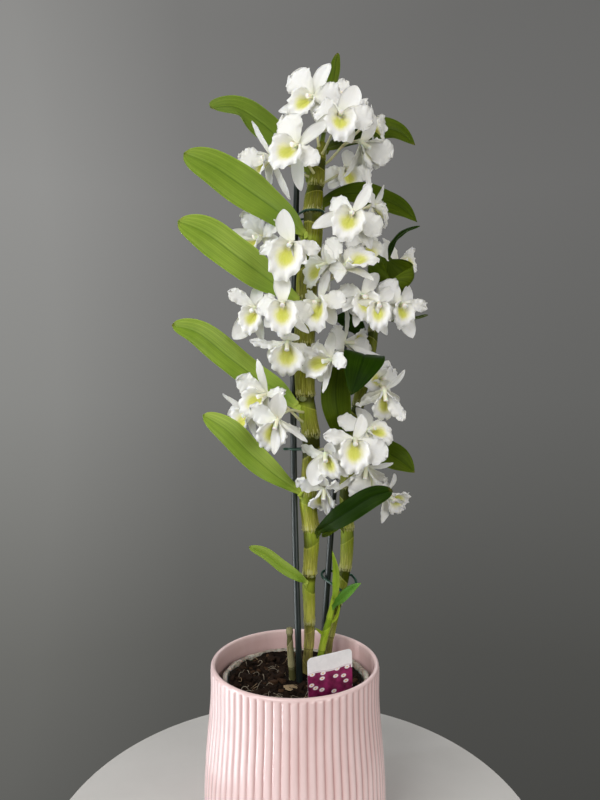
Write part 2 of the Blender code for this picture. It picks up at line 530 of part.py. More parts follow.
def facing(yaw, pitch, roll):
    a, b, c = (math.radians(x) for x in (yaw, pitch, roll))
    n = Vector((math.sin(a) * math.cos(b), -math.cos(a) * math.cos(b), math.sin(b)))
    up0 = Vector((0, 0, 1))
    up0 = (up0 - n * up0.dot(n)).normalized()
    right0 = up0.cross(n)
    up = up0 * math.cos(c) + right0 * math.sin(c)
    right = right0 * math.cos(c) - up0 * math.sin(c)
    return n, up, right


def reach(c, n, u, v, length):
    """The point on the line of sight through (u, v) that is that far from c, on the side that keeps the tepal in its flower's plane."""
    best = None
    lo, hi = c.y - 0.05, c.y + 0.05
    steps = 200
    prev = None
    found = []
    closest = None
    for i in range(steps + 1):
        y = lo + (hi - lo) * i / steps
        p = at(u, v, y)
        d = (p - c).length - length
        if closest is None or abs(d) < abs(closest[0]):
            closest = (d, p)
        if prev is not None and prev[0] * d <= 0:
            found.append(p)
        prev = (d, p)
    if not found:
        found = [at(u, v, c.y - 0.001)] if closest is None else [min((at(u, v, lo + (hi - lo) * i / steps) for i in range(steps + 1)), key=lambda q: (q - c).length)]
    for p in found:
        score = abs((p - c).normalized().dot(n) + 0.05)
        if best is None or score < best[0]:
            best = (score, p)
    return best[1]


ANGLES = dict(D=0, PR=72, SR=138, SL=-138, PL=-72)
WIDTHS = dict(D=13.0, PR=19.0, SR=12.0, SL=12.0, PL=19.0)


def parts_of(f):
    """The flower's centre, facing and the tip and width (m) of each of its tepals and lip."""
    name, u, v, y, yaw, pitch, roll, tips, lip, grows = f
    c = at(u, v, y)
    n, up, right = facing(yaw, pitch, roll)
    scale = FOCAL / (y - EYE.y)
    out = {}
    for k, a in ANGLES.items():
        if k in tips:
            tu, tv, w = tips[k]
            p = reach(c, n, tu, tv, TEPAL)
            out[k] = (p, max(w / scale, 0.006))
        else:
            r = math.radians(a)
            d = (up * math.cos(r) + right * math.sin(r) - n * 0.12).normalized()
            out[k] = (c + d * TEPAL * 0.94, WIDTHS[k] / 1000)
    lp = at(lip[0], lip[1], y)
    d = lp - c
    d = d - n * d.dot(n)
    d = d.normalized() if d.length > 0.002 else -up
    out["L"] = (c + d * 0.0215 + n * 0.0095, 0.0215)
    return c, n, up, right, out, grows


def stalk_of(f):
    """Where a flower's stalk leaves the cane or its partner's stalk, and its way to the back of the flower."""
    c, n, up, right, out, (which, v) = parts_of(f)
    back = c - n * 0.0045
    p, r = cane_point(which, v)
    if f[0] in FIRST_OF:
        root = stalk_of(BY_NAME[FIRST_OF[f[0]]])[1]
        d = (back - root).normalized()
        bend = root.lerp(back, 0.5) - n * 0.003
    else:
        d = back - p
        d = Vector((d.x, d.y, d.z * 0.3)).normalized()
        root = p + Vector((d.x, d.y, 0)).normalized() * (r + 0.0009) + Vector((0, 0, d.z * 0.002))
        bend = root.lerp(back, 0.45) + d * 0.003 - n * 0.004 + Vector((0, 0, 0.001))
    q, rq = cane_near(which, bend.z)
    away = Vector((bend.x - q.x, bend.y - q.y, 0))
    if away.length < rq + 0.0032:
        away = (away.normalized() + Vector((d.x, d.y, 0)).normalized()).normalized()
        bend = Vector((q.x, q.y, bend.z)) + away * (rq + 0.0032)
    return root, bend, back


CAD_SHARE = 0.86


def flower_mesh(f, name):
    """One closed body: the stalk, then the backs of the tepals out to their edges, then their fronts in to the column."""
    c, n, up, right, out, grows = parts_of(f)
    root, bend, back = stalk_of(f)
    lobes = []
    for k, (tip, w) in out.items():
        d = tip - c
        flat = d - n * d.dot(n)
        lobes.append([math.atan2(flat.dot(right), flat.dot(up)), k, d * CAD_SHARE, w * CAD_SHARE])
    lobes.sort(key=lambda x: x[0])
    # neighbours keep at least 34 degrees between them
    for _ in range(60):
        for i in range(6):
            a, b = lobes[i], lobes[(i + 1) % 6]
            gap = (b[0] - a[0]) % (2 * math.pi)
            if i == 5:
                gap = (lobes[0][0] + 2 * math.pi - a[0])
            if gap < math.radians(34):
                push = (math.radians(34.5) - gap) / 2
                a[0] -= push
                b[0] += push
    edge, kinds = [], []
    for i, (a, k, d, w) in enumerate(lobes):
        nxt = lobes[(i + 1) % 6][0] + (2 * math.pi if i == 5 else 0)
        prv = lobes[i - 1][0] - (2 * math.pi if i == 0 else 0)
        flat = d - n * d.dot(n)
        reach_ = max(flat.length, 0.006)
        rise = d.dot(n)
        u_ = up * math.cos(a) + right * math.sin(a)
        side = right * math.cos(a) - up * math.sin(a)
        va = (prv + a) / 2
        room = min(nxt - a, a - prv) / 2
        half = min(w / 2, reach_ * 0.62 * math.tan(min(room, 1.2)) * 0.92)
        edge.append(c + (up * math.cos(va) + right * math.sin(va)) * 0.0042 + n * 0.0005)
        edge.append(c + u_ * reach_ * 0.62 - side * half + n * rise * 0.75)
        edge.append(c + u_ * reach_ + n * rise)
        edge.append(c + u_ * reach_ * 0.62 + side * half + n * rise * 0.75)
    m = len(edge)
    axis = (back - bend).normalized()

    def ring(centre, direction, radius):
        # the ring starts on the same side as the edge does
        direction = direction.normalized()
        x = (edge[0] - c)
        x = (x - direction * x.dot(direction)).normalized()
        yv = direction.cross(x)
        sign = 1 if direction.dot(n) > 0 else 1
        pts = []
        for i in range(m):
            e = edge[i] - c
            e = e - direction * e.dot(direction)
            # spread by angle around the stalk, in the same order as the edge
            a = -2 * math.pi * i / m
            pts.append(centre + (x * math.cos(a) + yv * math.sin(a)) * radius * sign)
        return pts

    bm = bmesh.new()
    d1 = (bend - root).lerp(back - bend, 0.5)
    v_root = bm.verts.new(root)
    rings = [ring(bend, d1, 0.0011), ring(back, axis if axis.dot(n) > 0.2 else n, 0.0019), edge]
    rows = [[bm.verts.new(p) for p in r] for r in rings]
    v_front = bm.verts.new(c + n * 0.0032)
    for i in range(m):
        j = (i + 1) % m
        bm.faces.new((v_root, rows[0][i], rows[0][j]))
        for a, b in zip(rows, rows[1:]):
            bm.faces.new((a[i], b[i], b[j], a[j]))
        bm.faces.new((rows[-1][i], v_front, rows[-1][j]))
    bm.normal_update()
    bmesh.ops.recalc_face_normals(bm, faces=bm.faces)
    me = bpy.data.meshes.new(name)
    bm.to_mesh(me)
    bm.free()
    return me


for f in FLOWERS:
    if f[0] in FIRST_OF:
        continue
    if f[0] in PARTNER:
        other_f = BY_NAME[PARTNER[f[0]]]
        name = "flowers_%s_%s" % (f[0][1:], other_f[0][1:])
        o = add(name, flower_mesh(f, name), PETAL)
        other = add("second_" + other_f[0], flower_mesh(other_f, "second_" + other_f[0]), PETAL, CUTTERS)
        other.hide_render = True
        other.display_type = "WIRE"
        boolean(o, other, "UNION")
    else:
        name = "flower_%s" % f[0][1:]
        add(name, flower_mesh(f, name), PETAL)


# ------------------------------------------------------------------ clips
def clip(name, centre_a, r_a, centre_b, r_b, wire=0.0009, gap=0.0009, sides=1, tilt=0.0):
    """A loop of wire round a cane (a) and its stake (b), in one plane."""
    d = (centre_b - centre_a)
    d.z = 0
    length = d.length
    d.normalize()
    s = Vector((-d.y, d.x, 0))
    ra, rb = r_a + gap + wire, r_b + gap + wire
    pts = []
    for k in range(9):
        a = math.radians(100 + 160 * k / 8)
        pts.append(centre_a + d * (ra * math.cos(a)) + s * (ra * math.sin(a)))
    for k in range(7):
        a = math.radians(-80 + 160 * k / 6)
        pts.append(centre_a + d * length + d * (rb * math.cos(a)) + s * (rb * math.sin(a)))
    for w in pts:
        w.z += (w.y - centre_a.y) * tilt
    rod(name, pts, [wire] * len(pts), STAKE, sides, cyclic=True)


def stake_at(points, z):
    for a, b in zip(points, points[1:]):
        if a.z <= z <= b.z:
            return a.lerp(b, (z - a.z) / (b.z - a.z))
    raise ValueError(z)


for name, which, v, sp in (("clip_top", "F", 213, SLP), ("clip_middle", "F", 449, SLP), ("clip_rear", "R", 582, SRP)):
    p, r = cane_point(which, v)
    q = stake_at(sp, p.z)
    if name == "clip_rear":
        clip(name, p + Vector((0.0018, 0.0, 0.0)), r + 0.0028, q, STAKE_R, wire=0.0011, gap=0.0014, tilt=0.52)
    else:
        clip(name, p, r, q, STAKE_R)
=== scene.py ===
import math
import random

import bmesh
import bpy
import numpy as np
from mathutils import Matrix, Vector, noise


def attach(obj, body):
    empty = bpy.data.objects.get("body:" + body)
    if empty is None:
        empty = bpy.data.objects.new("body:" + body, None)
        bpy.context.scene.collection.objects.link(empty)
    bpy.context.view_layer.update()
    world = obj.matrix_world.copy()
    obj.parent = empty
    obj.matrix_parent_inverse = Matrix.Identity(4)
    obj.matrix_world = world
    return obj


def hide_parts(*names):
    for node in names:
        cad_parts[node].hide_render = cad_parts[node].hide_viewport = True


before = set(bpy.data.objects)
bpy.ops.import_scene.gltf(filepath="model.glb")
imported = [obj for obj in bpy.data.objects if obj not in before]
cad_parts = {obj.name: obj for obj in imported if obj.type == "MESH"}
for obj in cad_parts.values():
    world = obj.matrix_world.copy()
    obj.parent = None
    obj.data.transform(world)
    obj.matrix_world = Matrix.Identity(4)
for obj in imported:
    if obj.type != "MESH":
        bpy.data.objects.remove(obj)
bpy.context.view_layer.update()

# ------------------------------------------------------------------ driving dimensions
POT_H = 0.135          # cover pot, foot to rim
POT_RIM_R = 0.0694     # outer radius at the rim
POT_BELLY_R = 0.0744   # outer radius low down, where the pot is widest
POT_WALL = 0.0037
POT_FLOOR = 0.007
RIBS = 68              # upright ribs round the cover pot
RIB_H = 0.0012
LINER_RIM_R = 0.0605   # nursery pot, outer radius of its rim
LINER_RIM_Z = 0.1213
LINER_FOOT_R = 0.0450
LINER_WALL = 0.0012
MEDIUM_TOP = 0.1140
GAP = 0.0003           # between pieces that touch
STAKE_R = 0.00275
TEPAL = 0.0260         # length of a sepal or petal
LEAF_T = 0.0011

# The plant is laid out as it is seen from the front: a point is given by where it shows in that
# view (in view units, right and down from the top left corner) and by its depth y in metres.
EYE = Vector((0.0042, -0.5135, 0.3510))
FOCAL, MID_U, MID_V = 616.0, 300.0, 400.0


def at(u, v, y):
    d = y - EYE.y
    return Vector((EYE.x + (u - MID_U) / FOCAL * d, y, EYE.z - (v - MID_V) / FOCAL * d))


# ------------------------------------------------------------------ the plant's layout
# Each point of a cane: view u, view v, depth y, diameter in mm.
FRONT_CANE = [
    (307.0, 683, 0.0170, 8.0), (307.6, 660, 0.0170, 8.6), (309.2, 640, 0.0168, 8.8),
    (309.4, 624, 0.0166, 9.4), (309.2, 604, 0.0162, 10.2), (308.6, 586, 0.0160, 11.0),
    (309.6, 575, 0.0158, 12.0), (310.4, 560, 0.0156, 12.2), (311.4, 545, 0.0152, 13.0),
    (311.2, 530, 0.0150, 15.0), (309.2, 514, 0.0148, 14.2), (307.6, 498, 0.0146, 14.8),
    (309.2, 480, 0.0142, 14.0), (310.8, 460, 0.0140, 14.4), (311.0, 436, 0.0138, 15.6),
    (308.6, 420, 0.0135, 15.0), (306.4, 404, 0.0132, 15.0), (305.2, 392, 0.0130, 16.6),
    (304.6, 376, 0.0128, 17.0), (304.0, 350, 0.0124, 17.2), (304.8, 330, 0.0122, 17.8),
    (306.2, 300, 0.0118, 18.2), (307.6, 272, 0.0114, 18.0), (311.0, 250, 0.0112, 17.4),
    (313.4, 232, 0.0110, 16.6), (312.4, 214, 0.0108, 16.0), (314.0, 198, 0.0106, 15.8),
    (316.2, 182, 0.0104, 14.2), (318.6, 166, 0.0102, 12.0), (320.8, 152, 0.0100, 9.6),
    (322.2, 143, 0.0100, 6.6),
]
REAR_CANE = [
    (327.0, 680, 0.0370, 5.6), (328.0, 660, 0.0368, 5.6), (329.6, 645, 0.0366, 5.8),
    (332.4, 630, 0.0364, 6.0), (336.0, 612, 0.0360, 6.6), (339.6, 596, 0.0356, 8.0),
    (343.0, 580, 0.0352, 9.8), (345.8, 564, 0.0350, 10.8), (347.0, 545, 0.0346, 11.4),
    (347.2, 528, 0.0344, 12.2), (346.4, 510, 0.0342, 11.4), (346.0, 492, 0.0340, 11.6),
    (347.6, 470, 0.0340, 11.4), (350.6, 448, 0.0340, 11.6), (354.6, 424, 0.0340, 11.2),
    (359.8, 398, 0.0340, 11.2), (365.4, 372, 0.0340, 10.6), (370.4, 350, 0.0340, 10.2),
    (373.2, 332, 0.0340, 9.8), (377.0, 312, 0.0340, 9.2), (381.4, 292, 0.0340, 8.4),
    (385.0, 276, 0.0340, 7.4), (387.6, 262, 0.0340, 5.6),
]
YOUNG_SHOOT = [
    (318.0, 684, 0.0250, 5.0), (319.0, 668, 0.0250, 5.6), (321.2, 653, 0.0248, 6.2),
    (324.8, 636, 0.0244, 6.2), (329.4, 619, 0.0240, 5.8), (332.8, 604, 0.0236, 5.0),
    (335.0, 592, 0.0232, 3.6),
]
OLD_STUB = [
    (293.6, 698, 0.0080, 6.0), (293.0, 682, 0.0080, 6.4), (291.4, 662, 0.0080, 6.0),
    (290.2, 646, 0.0080, 5.4), (289.8, 637, 0.0080, 5.0), (289.6, 632, 0.0080, 6.0),
    (289.6, 628, 0.0080, 5.2),
]
# The internodes' ends on each cane, by view v, where the ring of a node shows.
FRONT_NODES = [648, 622, 578, 532, 494, 434, 395, 345, 300, 256, 213, 186, 160]
REAR_NODES = [636, 602, 568, 528, 486, 446, 404, 362, 330, 296]

# Each leaf: name, midrib from base to tip as (u, v, y), width in mm, the way its upper face looks,
# the fold along its midrib in degrees, and the cane and view v of its node.
LEAVES = [
    ("leaf_01_top", [(322.5, 142, 0.016), (329, 112, 0.034), (333.5, 82, 0.042), (337.5, 53, 0.040)], 19, (-0.75, -0.6, 0.1), 14),
    ("leaf_02_upper_left", [(310.5, 172, 0.016), (286, 146, 0.024), (262, 124, 0.022), (236, 108, 0.010), (211, 108, -0.010)], 31, (0.1, -1, 0.45), 10),
    ("leaf_03_left", [(302.4, 232, 0.0032), (281, 214, -0.006), (250, 192, -0.016), (215, 168, -0.022), (184, 153, -0.024)], 37, (0.15, -1, 0.35), 9),
    ("leaf_04_left", [(296.0, 300, 0.0030), (270, 281, -0.004), (240, 259, -0.014), (206, 234, -0.022), (178, 221, -0.026)], 34, (0.1, -1, 0.4), 9),
    ("leaf_05_left", [(295.4, 405, 0.0082), (280, 392, 0.004), (256, 378, 0.004), (228, 357, -0.004), (199, 334, -0.014), (172, 325, -0.022)], 27, (0.1, -1, 0.45), 14),
    ("leaf_06_left", [(299.0, 491, 0.0078), (276, 476, 0.000), (250, 454, -0.012), (227, 431, -0.022), (203, 415, -0.028)], 24, (0.2, -1, 0.5), 16),
    ("leaf_07_low_left", [(305.8, 581.5, 0.0088), (298.5, 577, 0.0036), (283, 567, -0.001), (266, 554, -0.006), (249, 547, -0.012)], 10.5, (0.1, -1, 0.5), 14),
    ("leaf_08_upper_right", [(327.4, 148, 0.018), (348, 140, 0.042), (372, 130, 0.053), (396, 131, 0.050), (415, 145, 0.038)], 25, (0, -1, 0.25), 10),
    ("leaf_09_right", [(321.0, 206, 0.018), (337, 196, 0.030), (362, 194, 0.034), (388, 200, 0.034), (404, 209, 0.032), (417, 222, 0.030)], 21, (0, -1, 0.35), 12),
    ("leaf_10_thin_right", [(389.5, 257, 0.034), (393, 246, 0.036), (400, 236, 0.036), (410, 230, 0.034), (420, 226, 0.030)], 9, (-0.5, -0.35, 0.75), 10),
    ("leaf_11_folded_right", [(390.0, 262, 0.028), (388, 263, 0.017), (389, 271, 0.007), (392, 283, 0.000), (396, 293.5, -0.007)], 32, (0.05, -0.55, 1), 56),
    ("leaf_12_behind_right", [(382.0, 318, 0.040), (396, 321, 0.044), (412, 319, 0.044), (428, 315, 0.040)], 10, (0, -0.5, 1), 12),
    ("leaf_13_dark_folded", [(366.5, 367, 0.0265), (366, 366, 0.012), (362, 370, -0.010), (356, 380, -0.022), (350.5, 394, -0.028)], 32, (0.30, -0.70, 0.75), 32),
    ("leaf_14_centre", [(343.6, 447, 0.0262), (340, 425, 0.020), (336, 402, 0.018), (336, 384, 0.018), (339, 366, 0.024)], 26, (0, -1, 0.1), 10),
    ("leaf_15_right", [(360.8, 450, 0.036), (374, 444, 0.036), (394, 450, 0.030), (406, 460, 0.026), (414.5, 473, 0.022)], 21, (0, -1, 0.3), 10),
    ("leaf_16_low_right", [(319.8, 530, 0.0072), (333, 518, -0.008), (356, 506, -0.018), (376, 499, -0.022), (393, 492, -0.024)], 24, (0.1, -1, 0.3), 16),
    ("leaf_17_rear_small", [(341.2, 526, 0.030), (334, 529, 0.022), (328, 533, 0.019), (322.5, 537, 0.014)], 8, (0, -0.6, 1), 16),
    ("leaf_18_behind", [(364.2, 338, 0.034), (356, 326, 0.034), (346, 320, 0.034), (334, 318, 0.032)], 18, (0, -1, 0.2), 10),
]
SHOOT_LEAVES = [
    [(335.0, 597, 0.0188), (336.4, 584, 0.017), (336.0, 568, 0.015), (332.4, 551, 0.010)],
    [(336.8, 603, 0.0178), (343, 597, 0.014), (352, 589, 0.010), (361, 583, 0.004)],
]

# Each flower: name, centre u, v, depth y, yaw, pitch and roll in degrees (yaw 0 faces the viewer, roll turns the top
# sepal clockwise), the tips that show (u, v, width in view units) of D the top sepal, P the petals and S the lower
# sepals on its left (L) and right (R), the lip's middle (u, v), and the cane and view v where its stalk grows.
FLOWERS = [
    ("f01", 313, 97, -0.004, -22, -5, 28, dict(D=(330, 63, 15), PL=(290, 75, 26), SL=(278, 111, 10)), (304, 105), ("F", 150)),
    ("f02", 340, 114, -0.030, 4, 0, 18, dict(D=(357, 85, 20), PL=(315, 112, 22), PR=(373, 122, 24)), (339, 127), ("F", 156)),
    ("f03", 337, 101, 0.018, 30, 45, -10, dict(D=(329, 86, 20), PR=(345, 79, 12)), (342, 98), ("F", 146)),
    ("f04", 297, 146, -0.026, -16, 0, 50, dict(D=(329, 122, 13), PL=(284, 115, 25), PR=(318, 163, 17), SR=(301, 191, 13)), (289, 154), ("F", 176)),
    ("f05", 271, 157, 0.000, -55, 0, -22, dict(D=(251, 121, 8), PL=(239, 160, 22), SR=(290, 200, 10)), (264, 165), ("F", 178)),
    ("f06", 370, 124, 0.016, 75, 10, 0, dict(D=(373, 107, 14), PR=(384, 124, 18), SR=(374, 140, 14)), (378, 122), ("F", 164)),
    ("f07", 362, 143, -0.008, 40, -35, 10, dict(PL=(358, 165, 22), PR=(391, 158, 22), SL=(344, 178, 7), SR=(371, 196, 5)), (374, 152), ("F", 164)),
    ("f08", 347, 169, 0.051, 10, -10, 0, dict(PL=(323, 178, 14), PR=(372, 170, 16), D=(349, 150, 14)), (348, 180), ("F", 182)),
    ("f09", 353, 213, -0.028, -6, 0, 36, dict(D=(370, 184, 12), PL=(331, 203, 18), SL=(312, 228, 14), PR=(381, 233, 21), SR=(371, 249, 13)), (347, 229), ("F", 226)),
    ("f10", 374, 206, 0.010, 72, 5, 5, dict(D=(384, 185, 9), PR=(384, 214, 16), SR=(383, 225, 10)), (380, 210), ("F", 228)),
    ("f11", 366, 244, 0.040, 20, -5, 0, dict(PL=(346, 244, 16), PR=(376, 246, 14)), (367, 252), ("R", 268)),
    ("f12", 345, 268, -0.028, 10, 42, 0, dict(PL=(326, 243, 14), PR=(364, 247, 12), SR=(374, 280, 11), SL=(338, 281, 10)), (352, 266), ("F", 284)),
    ("f13", 327, 264, -0.018, -60, -10, -20, dict(PL=(309, 258, 16), D=(322, 244, 9)), (318, 268), ("F", 284)),
    ("f14", 398, 262, 0.053, 50, 10, 10, dict(D=(383, 238, 12), PR=(415, 248, 9), SR=(414, 280, 8)), (406, 262), ("R", 272)),
    ("f15", 262, 237, 0.008, -42, 5, -25, dict(D=(262, 219, 14), PL=(246, 210, 19), SL=(229, 232, 11), PR=(278, 223, 13)), (253, 245), ("F", 254)),
    ("f16", 291, 243, -0.034, -6, -10, -10, dict(D=(283, 209, 18), PL=(260, 252, 12), PR=(320, 249, 13), SR=(306, 264, 11)), (287, 257), ("F", 256)),
    ("f17", 256, 309, -0.012, -18, 0, -5, dict(D=(257, 285, 14), PL=(228, 291, 13), SL=(233, 339, 20), PR=(276, 302, 16), SR=(262, 342, 10)), (254, 321), ("F", 322)),
    ("f18", 283, 303, -0.036, -2, -4, -3, dict(D=(281, 272, 17), PL=(257, 309, 17), PR=(311, 318, 20), SR=(309, 333, 9)), (283, 319), ("F", 322)),
    ("f19", 320, 300, -0.022, -34, -4, 12, dict(D=(328, 270, 11), PL=(306, 298, 15), PR=(346, 301, 17)), (323, 317), ("F", 306)),
    ("f20", 363, 296, -0.024, 2, 2, 38, dict(D=(378, 273, 14), PL=(339, 290, 15), PR=(378, 311, 15), SR=(355, 327, 10), SL=(343, 311, 10)), (364, 301), ("R", 318)),
    ("f21", 378, 303, -0.030, 2, -6, 30, dict(D=(393, 289, 14), PR=(397, 318, 12), SR=(387, 335, 10), PL=(368, 293, 10)), (377, 315), ("R", 318)),
    ("f22", 400, 304, -0.011, 24, -4, 22, dict(D=(412, 289, 16), PR=(427, 308, 12), SR=(413, 338, 18)), (397, 318), ("R", 318)),
    ("f23", 287, 342, -0.024, 0, -34, 0, dict(PL=(250, 341, 9), PR=(318, 355, 12), D=(290, 334, 18)), (287, 355), ("F", 362)),
    ("f24", 331, 360, -0.020, -38, -6, 2, dict(D=(332, 332, 13), PR=(345, 363, 15), SR=(322, 393, 7)), (320, 363), ("F", 372)),
    ("f25", 345, 342, 0.012, 62, -12, -5, dict(D=(347, 305, 9), PR=(370, 352, 20), SR=(384, 358, 7)), (358, 342), ("R", 372)),
    ("f26", 266, 395, -0.020, -36, 0, -12, dict(D=(257, 359, 10), PL=(237, 378, 20), PR=(285, 391, 10), SR=(268, 414, 9)), (258, 400), ("F", 422)),
    ("f27", 252, 413, 0.002, -52, -6, -15, dict(PL=(229, 416, 18), D=(222, 394, 4), SL=(256, 440, 14)), (244, 419), ("F", 422)),
    ("f28", 277, 420, -0.031, -6, -34, 8, dict(PR=(300, 431, 10), SR=(307, 443, 8), SL=(274, 455, 10)), (272, 433), ("F", 412)),
    ("f29", 381, 379, 0.018, 28, 8, 30, dict(PR=(397, 374, 17), SL=(377, 402, 9), PL=(368, 392, 8), D=(390, 361, 14)), (370, 382), ("R", 402)),
    ("f30", 384, 391, -0.006, 8, -46, 0, dict(D=(405, 370, 5), PL=(356, 405, 7), PR=(404, 420, 13)), (386, 408), ("R", 402)),
    ("f31", 368, 430, 0.010, 25, 25, 0, dict(D=(358, 407, 18), PR=(391, 437, 22), PL=(338, 418, 16)), (378, 436), ("R", 444)),
    ("f32", 355, 440, -0.030, 0, -2, 8, dict(D=(362, 414, 13), PL=(324, 435, 14), PR=(386, 458, 24)), (353, 456), ("R", 446)),
    ("f33", 326, 454, -0.018, -14, -22, 0, dict(D=(331, 443, 12), PL=(302, 447, 13), SL=(312, 486, 20), SR=(348, 477, 11)), (331, 463), ("F", 452)),
    ("f34", 366, 468, -0.010, -10, -52, 10, dict(SL=(334, 494, 5), PL=(357, 503, 22), PR=(384, 482, 18), D=(393, 463, 9)), (364, 484), ("R", 470)),
    ("f36", 386, 494, 0.016, 45, -30, 10, dict(D=(395, 474, 8), PR=(405, 510, 12), SR=(383, 524, 13)), (395, 500), ("R", 490)),
    ("f37", 324, 488, -0.006, -5, -60, 0, dict(SL=(320, 512, 9), SR=(327, 515, 9), D=(321, 476, 10), PR=(336, 482, 10)), (323, 500), ("F", 470)),
]
# Flowers that grow on one shared stalk.
SHARED = [("f01", "f03"), ("f06", "f07"), ("f12", "f13"), ("f15", "f16"), ("f17", "f18"), ("f20", "f21"), ("f26", "f27"), ("f29", "f30"), ("f31", "f32"), ("f34", "f36")]
STAKE_LEFT = (299.4, 672, 0.0030, 297.2, 172, 0.0300, 0.022, -0.0042)
STAKE_RIGHT = (322.6, 652, 0.0420, 346, 318, 0.0480, 0.040, 0.0)

BY_NAME = {f[0]: f for f in FLOWERS}
PARTNER = dict(SHARED)
FIRST_OF = {b: a for a, b in SHARED}


# ------------------------------------------------------------------ camera, lights, floor
def camera_and_light():
    scene = bpy.context.scene
    cam = bpy.data.objects.new("camera", bpy.data.cameras.new("camera"))
    scene.collection.objects.link(cam)
    cam.location = EYE
    cam.rotation_euler = (math.radians(90), 0, 0)
    cam.data.sensor_width = 36
    cam.data.lens = FOCAL / 800 * 36
    cam.data.clip_start = 0.02
    cam.data.clip_end = 30
    scene.camera = cam

    def area(name, place, look_at, size, power, colour=(1, 1, 1), size_y=None):
        li = bpy.data.lights.new(name, "AREA")
        li.shape = "RECTANGLE"
        li.size, li.size_y = size, size_y or size
        li.energy = power
        li.color = colour
        o = bpy.data.objects.new(name, li)
        scene.collection.objects.link(o)
        o.location = place
        d = Vector(look_at) - Vector(place)
        o.rotation_euler = d.to_track_quat("-Z", "Y").to_euler()
        return o

    area("key", (-0.95, -1.35, 1.25), (0, 0, 0.36), 1.2, 25, (1.0, 0.985, 0.965), 1.3)
    area("side_left", (-1.5, -0.25, -0.20), (0, 0, -0.20), 0.14, 15.0, (0.93, 0.965, 1.0), 1.8)
    for k, (x, y, wide) in enumerate(((-1.38, -0.42, 0.26), (-1.16, -0.86, 0.16), (-1.45, 0.10, 0.22))):
        strip = area("strip_%d" % k, (x, y, -0.50), (0, 0, -0.10), wide, 5.6 * math.pi * wide * 1.6, (0.95, 0.975, 1.0), 1.6)
        strip.visible_diffuse = False
    area("fill", (1.2, -1.4, 0.6), (0, 0, 0.35), 1.4, 17.0, (1.0, 0.975, 0.94))
    area("back", (0.5, 1.5, 1.4), (0, 0, 0.45), 1.2, 8.0, (0.97, 0.98, 1.0))

    world = bpy.data.worlds.new("room")
    scene.world = world
    world.use_nodes = True
    nt = world.node_tree
    bg = nt.nodes["Background"]
    tc = nt.nodes.new("ShaderNodeTexCoord")
    sep = nt.nodes.new("ShaderNodeSeparateXYZ")
    nt.links.new(tc.outputs["Generated"], sep.inputs[0])
    # lighter on the left than on the right, and lightest at mid height
    high = math_node(nt, "MULTIPLY_ADD", sep.outputs["Z"], 0.5, 0.5)
    tone = ramp(nt, high, [(0.0, (0.09, 0.09, 0.086)), (0.228, (0.115, 0.115, 0.108)), (0.318, (0.147, 0.147, 0.137)), (0.42, (0.208, 0.208, 0.197)), (0.5, (0.25, 0.25, 0.240)), (0.654, (0.292, 0.290, 0.282)), (0.76, (0.272, 0.270, 0.262)), (1.0, (0.32, 0.32, 0.31))])
    wide = ramp(nt, math_node(nt, "MULTIPLY_ADD", sep.outputs["X"], 0.5, 0.5), [(0.0, 1.15), (0.318, 1.0), (0.42, 0.71), (0.61, 0.55), (0.71, 0.51), (1.0, 0.50)])
    nt.links.new(mix(nt, 1.0, tone, wide, "MULTIPLY"), bg.inputs["Color"])
    bg.inputs["Strength"].default_value = 1.0

    scene.view_settings.view_transform = "Standard"
    scene.view_settings.look = "None"

    # a round pale floor
    bm = bmesh.new()
    bmesh.ops.create_circle(bm, cap_ends=True, segments=160, radius=0.20)
    me = bpy.data.meshes.new("floor")
    bm.to_mesh(me)
    bm.free()
    floor = bpy.data.objects.new("floor", me)
    scene.collection.objects.link(floor)
    floor.location.z = -0.0002
    mat, nt, p = new_material("floor_pale")
    n = noise_tex(nt, coords(nt), 9, 5, 0.6)
    g = noise_tex(nt, coords(nt), 300, 3, 0.6)
    nt.links.new(mix(nt, ramp(nt, n, [(0.35, 0.0), (0.65, 1.0)]), (0.60, 0.59, 0.57), (0.64, 0.63, 0.61)), p.inputs["Base Color"])
    bump(nt, p, g, 0.15, 0.0002)
    p.inputs["Roughness"].default_value = 0.8
    me.materials.append(mat)


# ------------------------------------------------------------------ node helpers
def new_material(name):
    m = bpy.data.materials.new(name)
    m.use_nodes = True
    return m, m.node_tree, m.node_tree.nodes["Principled BSDF"]


def attr(nt, name):
    n = nt.nodes.new("ShaderNodeAttribute")
    n.attribute_name = name
    return n.outputs["Fac"]


def math_node(nt, op, a, b=None, c=None, clamp=False):
    n = nt.nodes.new("ShaderNodeMath")
    n.operation = op
    n.use_clamp = clamp
    for i, v in enumerate((a, b, c)):
        if v is None:
            continue
        if isinstance(v, (int, float)):
            n.inputs[i].default_value = v
        else:
            nt.links.new(v, n.inputs[i])
    return n.outputs[0]


def mix(nt, fac, a, b, blend="MIX"):
    n = nt.nodes.new("ShaderNodeMix")
    n.data_type = "RGBA"
    n.blend_type = blend
    n.clamp_factor = True
    for i, v in ((0, fac), (6, a), (7, b)):
        if isinstance(v, (int, float)):
            n.inputs[i].default_value = v
        elif isinstance(v, tuple):
            n.inputs[i].default_value = (*v, 1) if len(v) == 3 else v
        else:
            nt.links.new(v, n.inputs[i])
    return n.outputs[2]


def ramp(nt, fac, stops, interpolation="LINEAR"):
    n = nt.nodes.new("ShaderNodeValToRGB")
    e = n.color_ramp.elements
    n.color_ramp.interpolation = interpolation
    while len(e) < len(stops):
        e.new(0.5)
    for k, (p, c) in zip(e, stops):
        k.position = p
        k.color = (c, c, c, 1) if isinstance(c, (int, float)) else (*c, 1)
    nt.links.new(fac, n.inputs[0])
    return n.outputs[0]


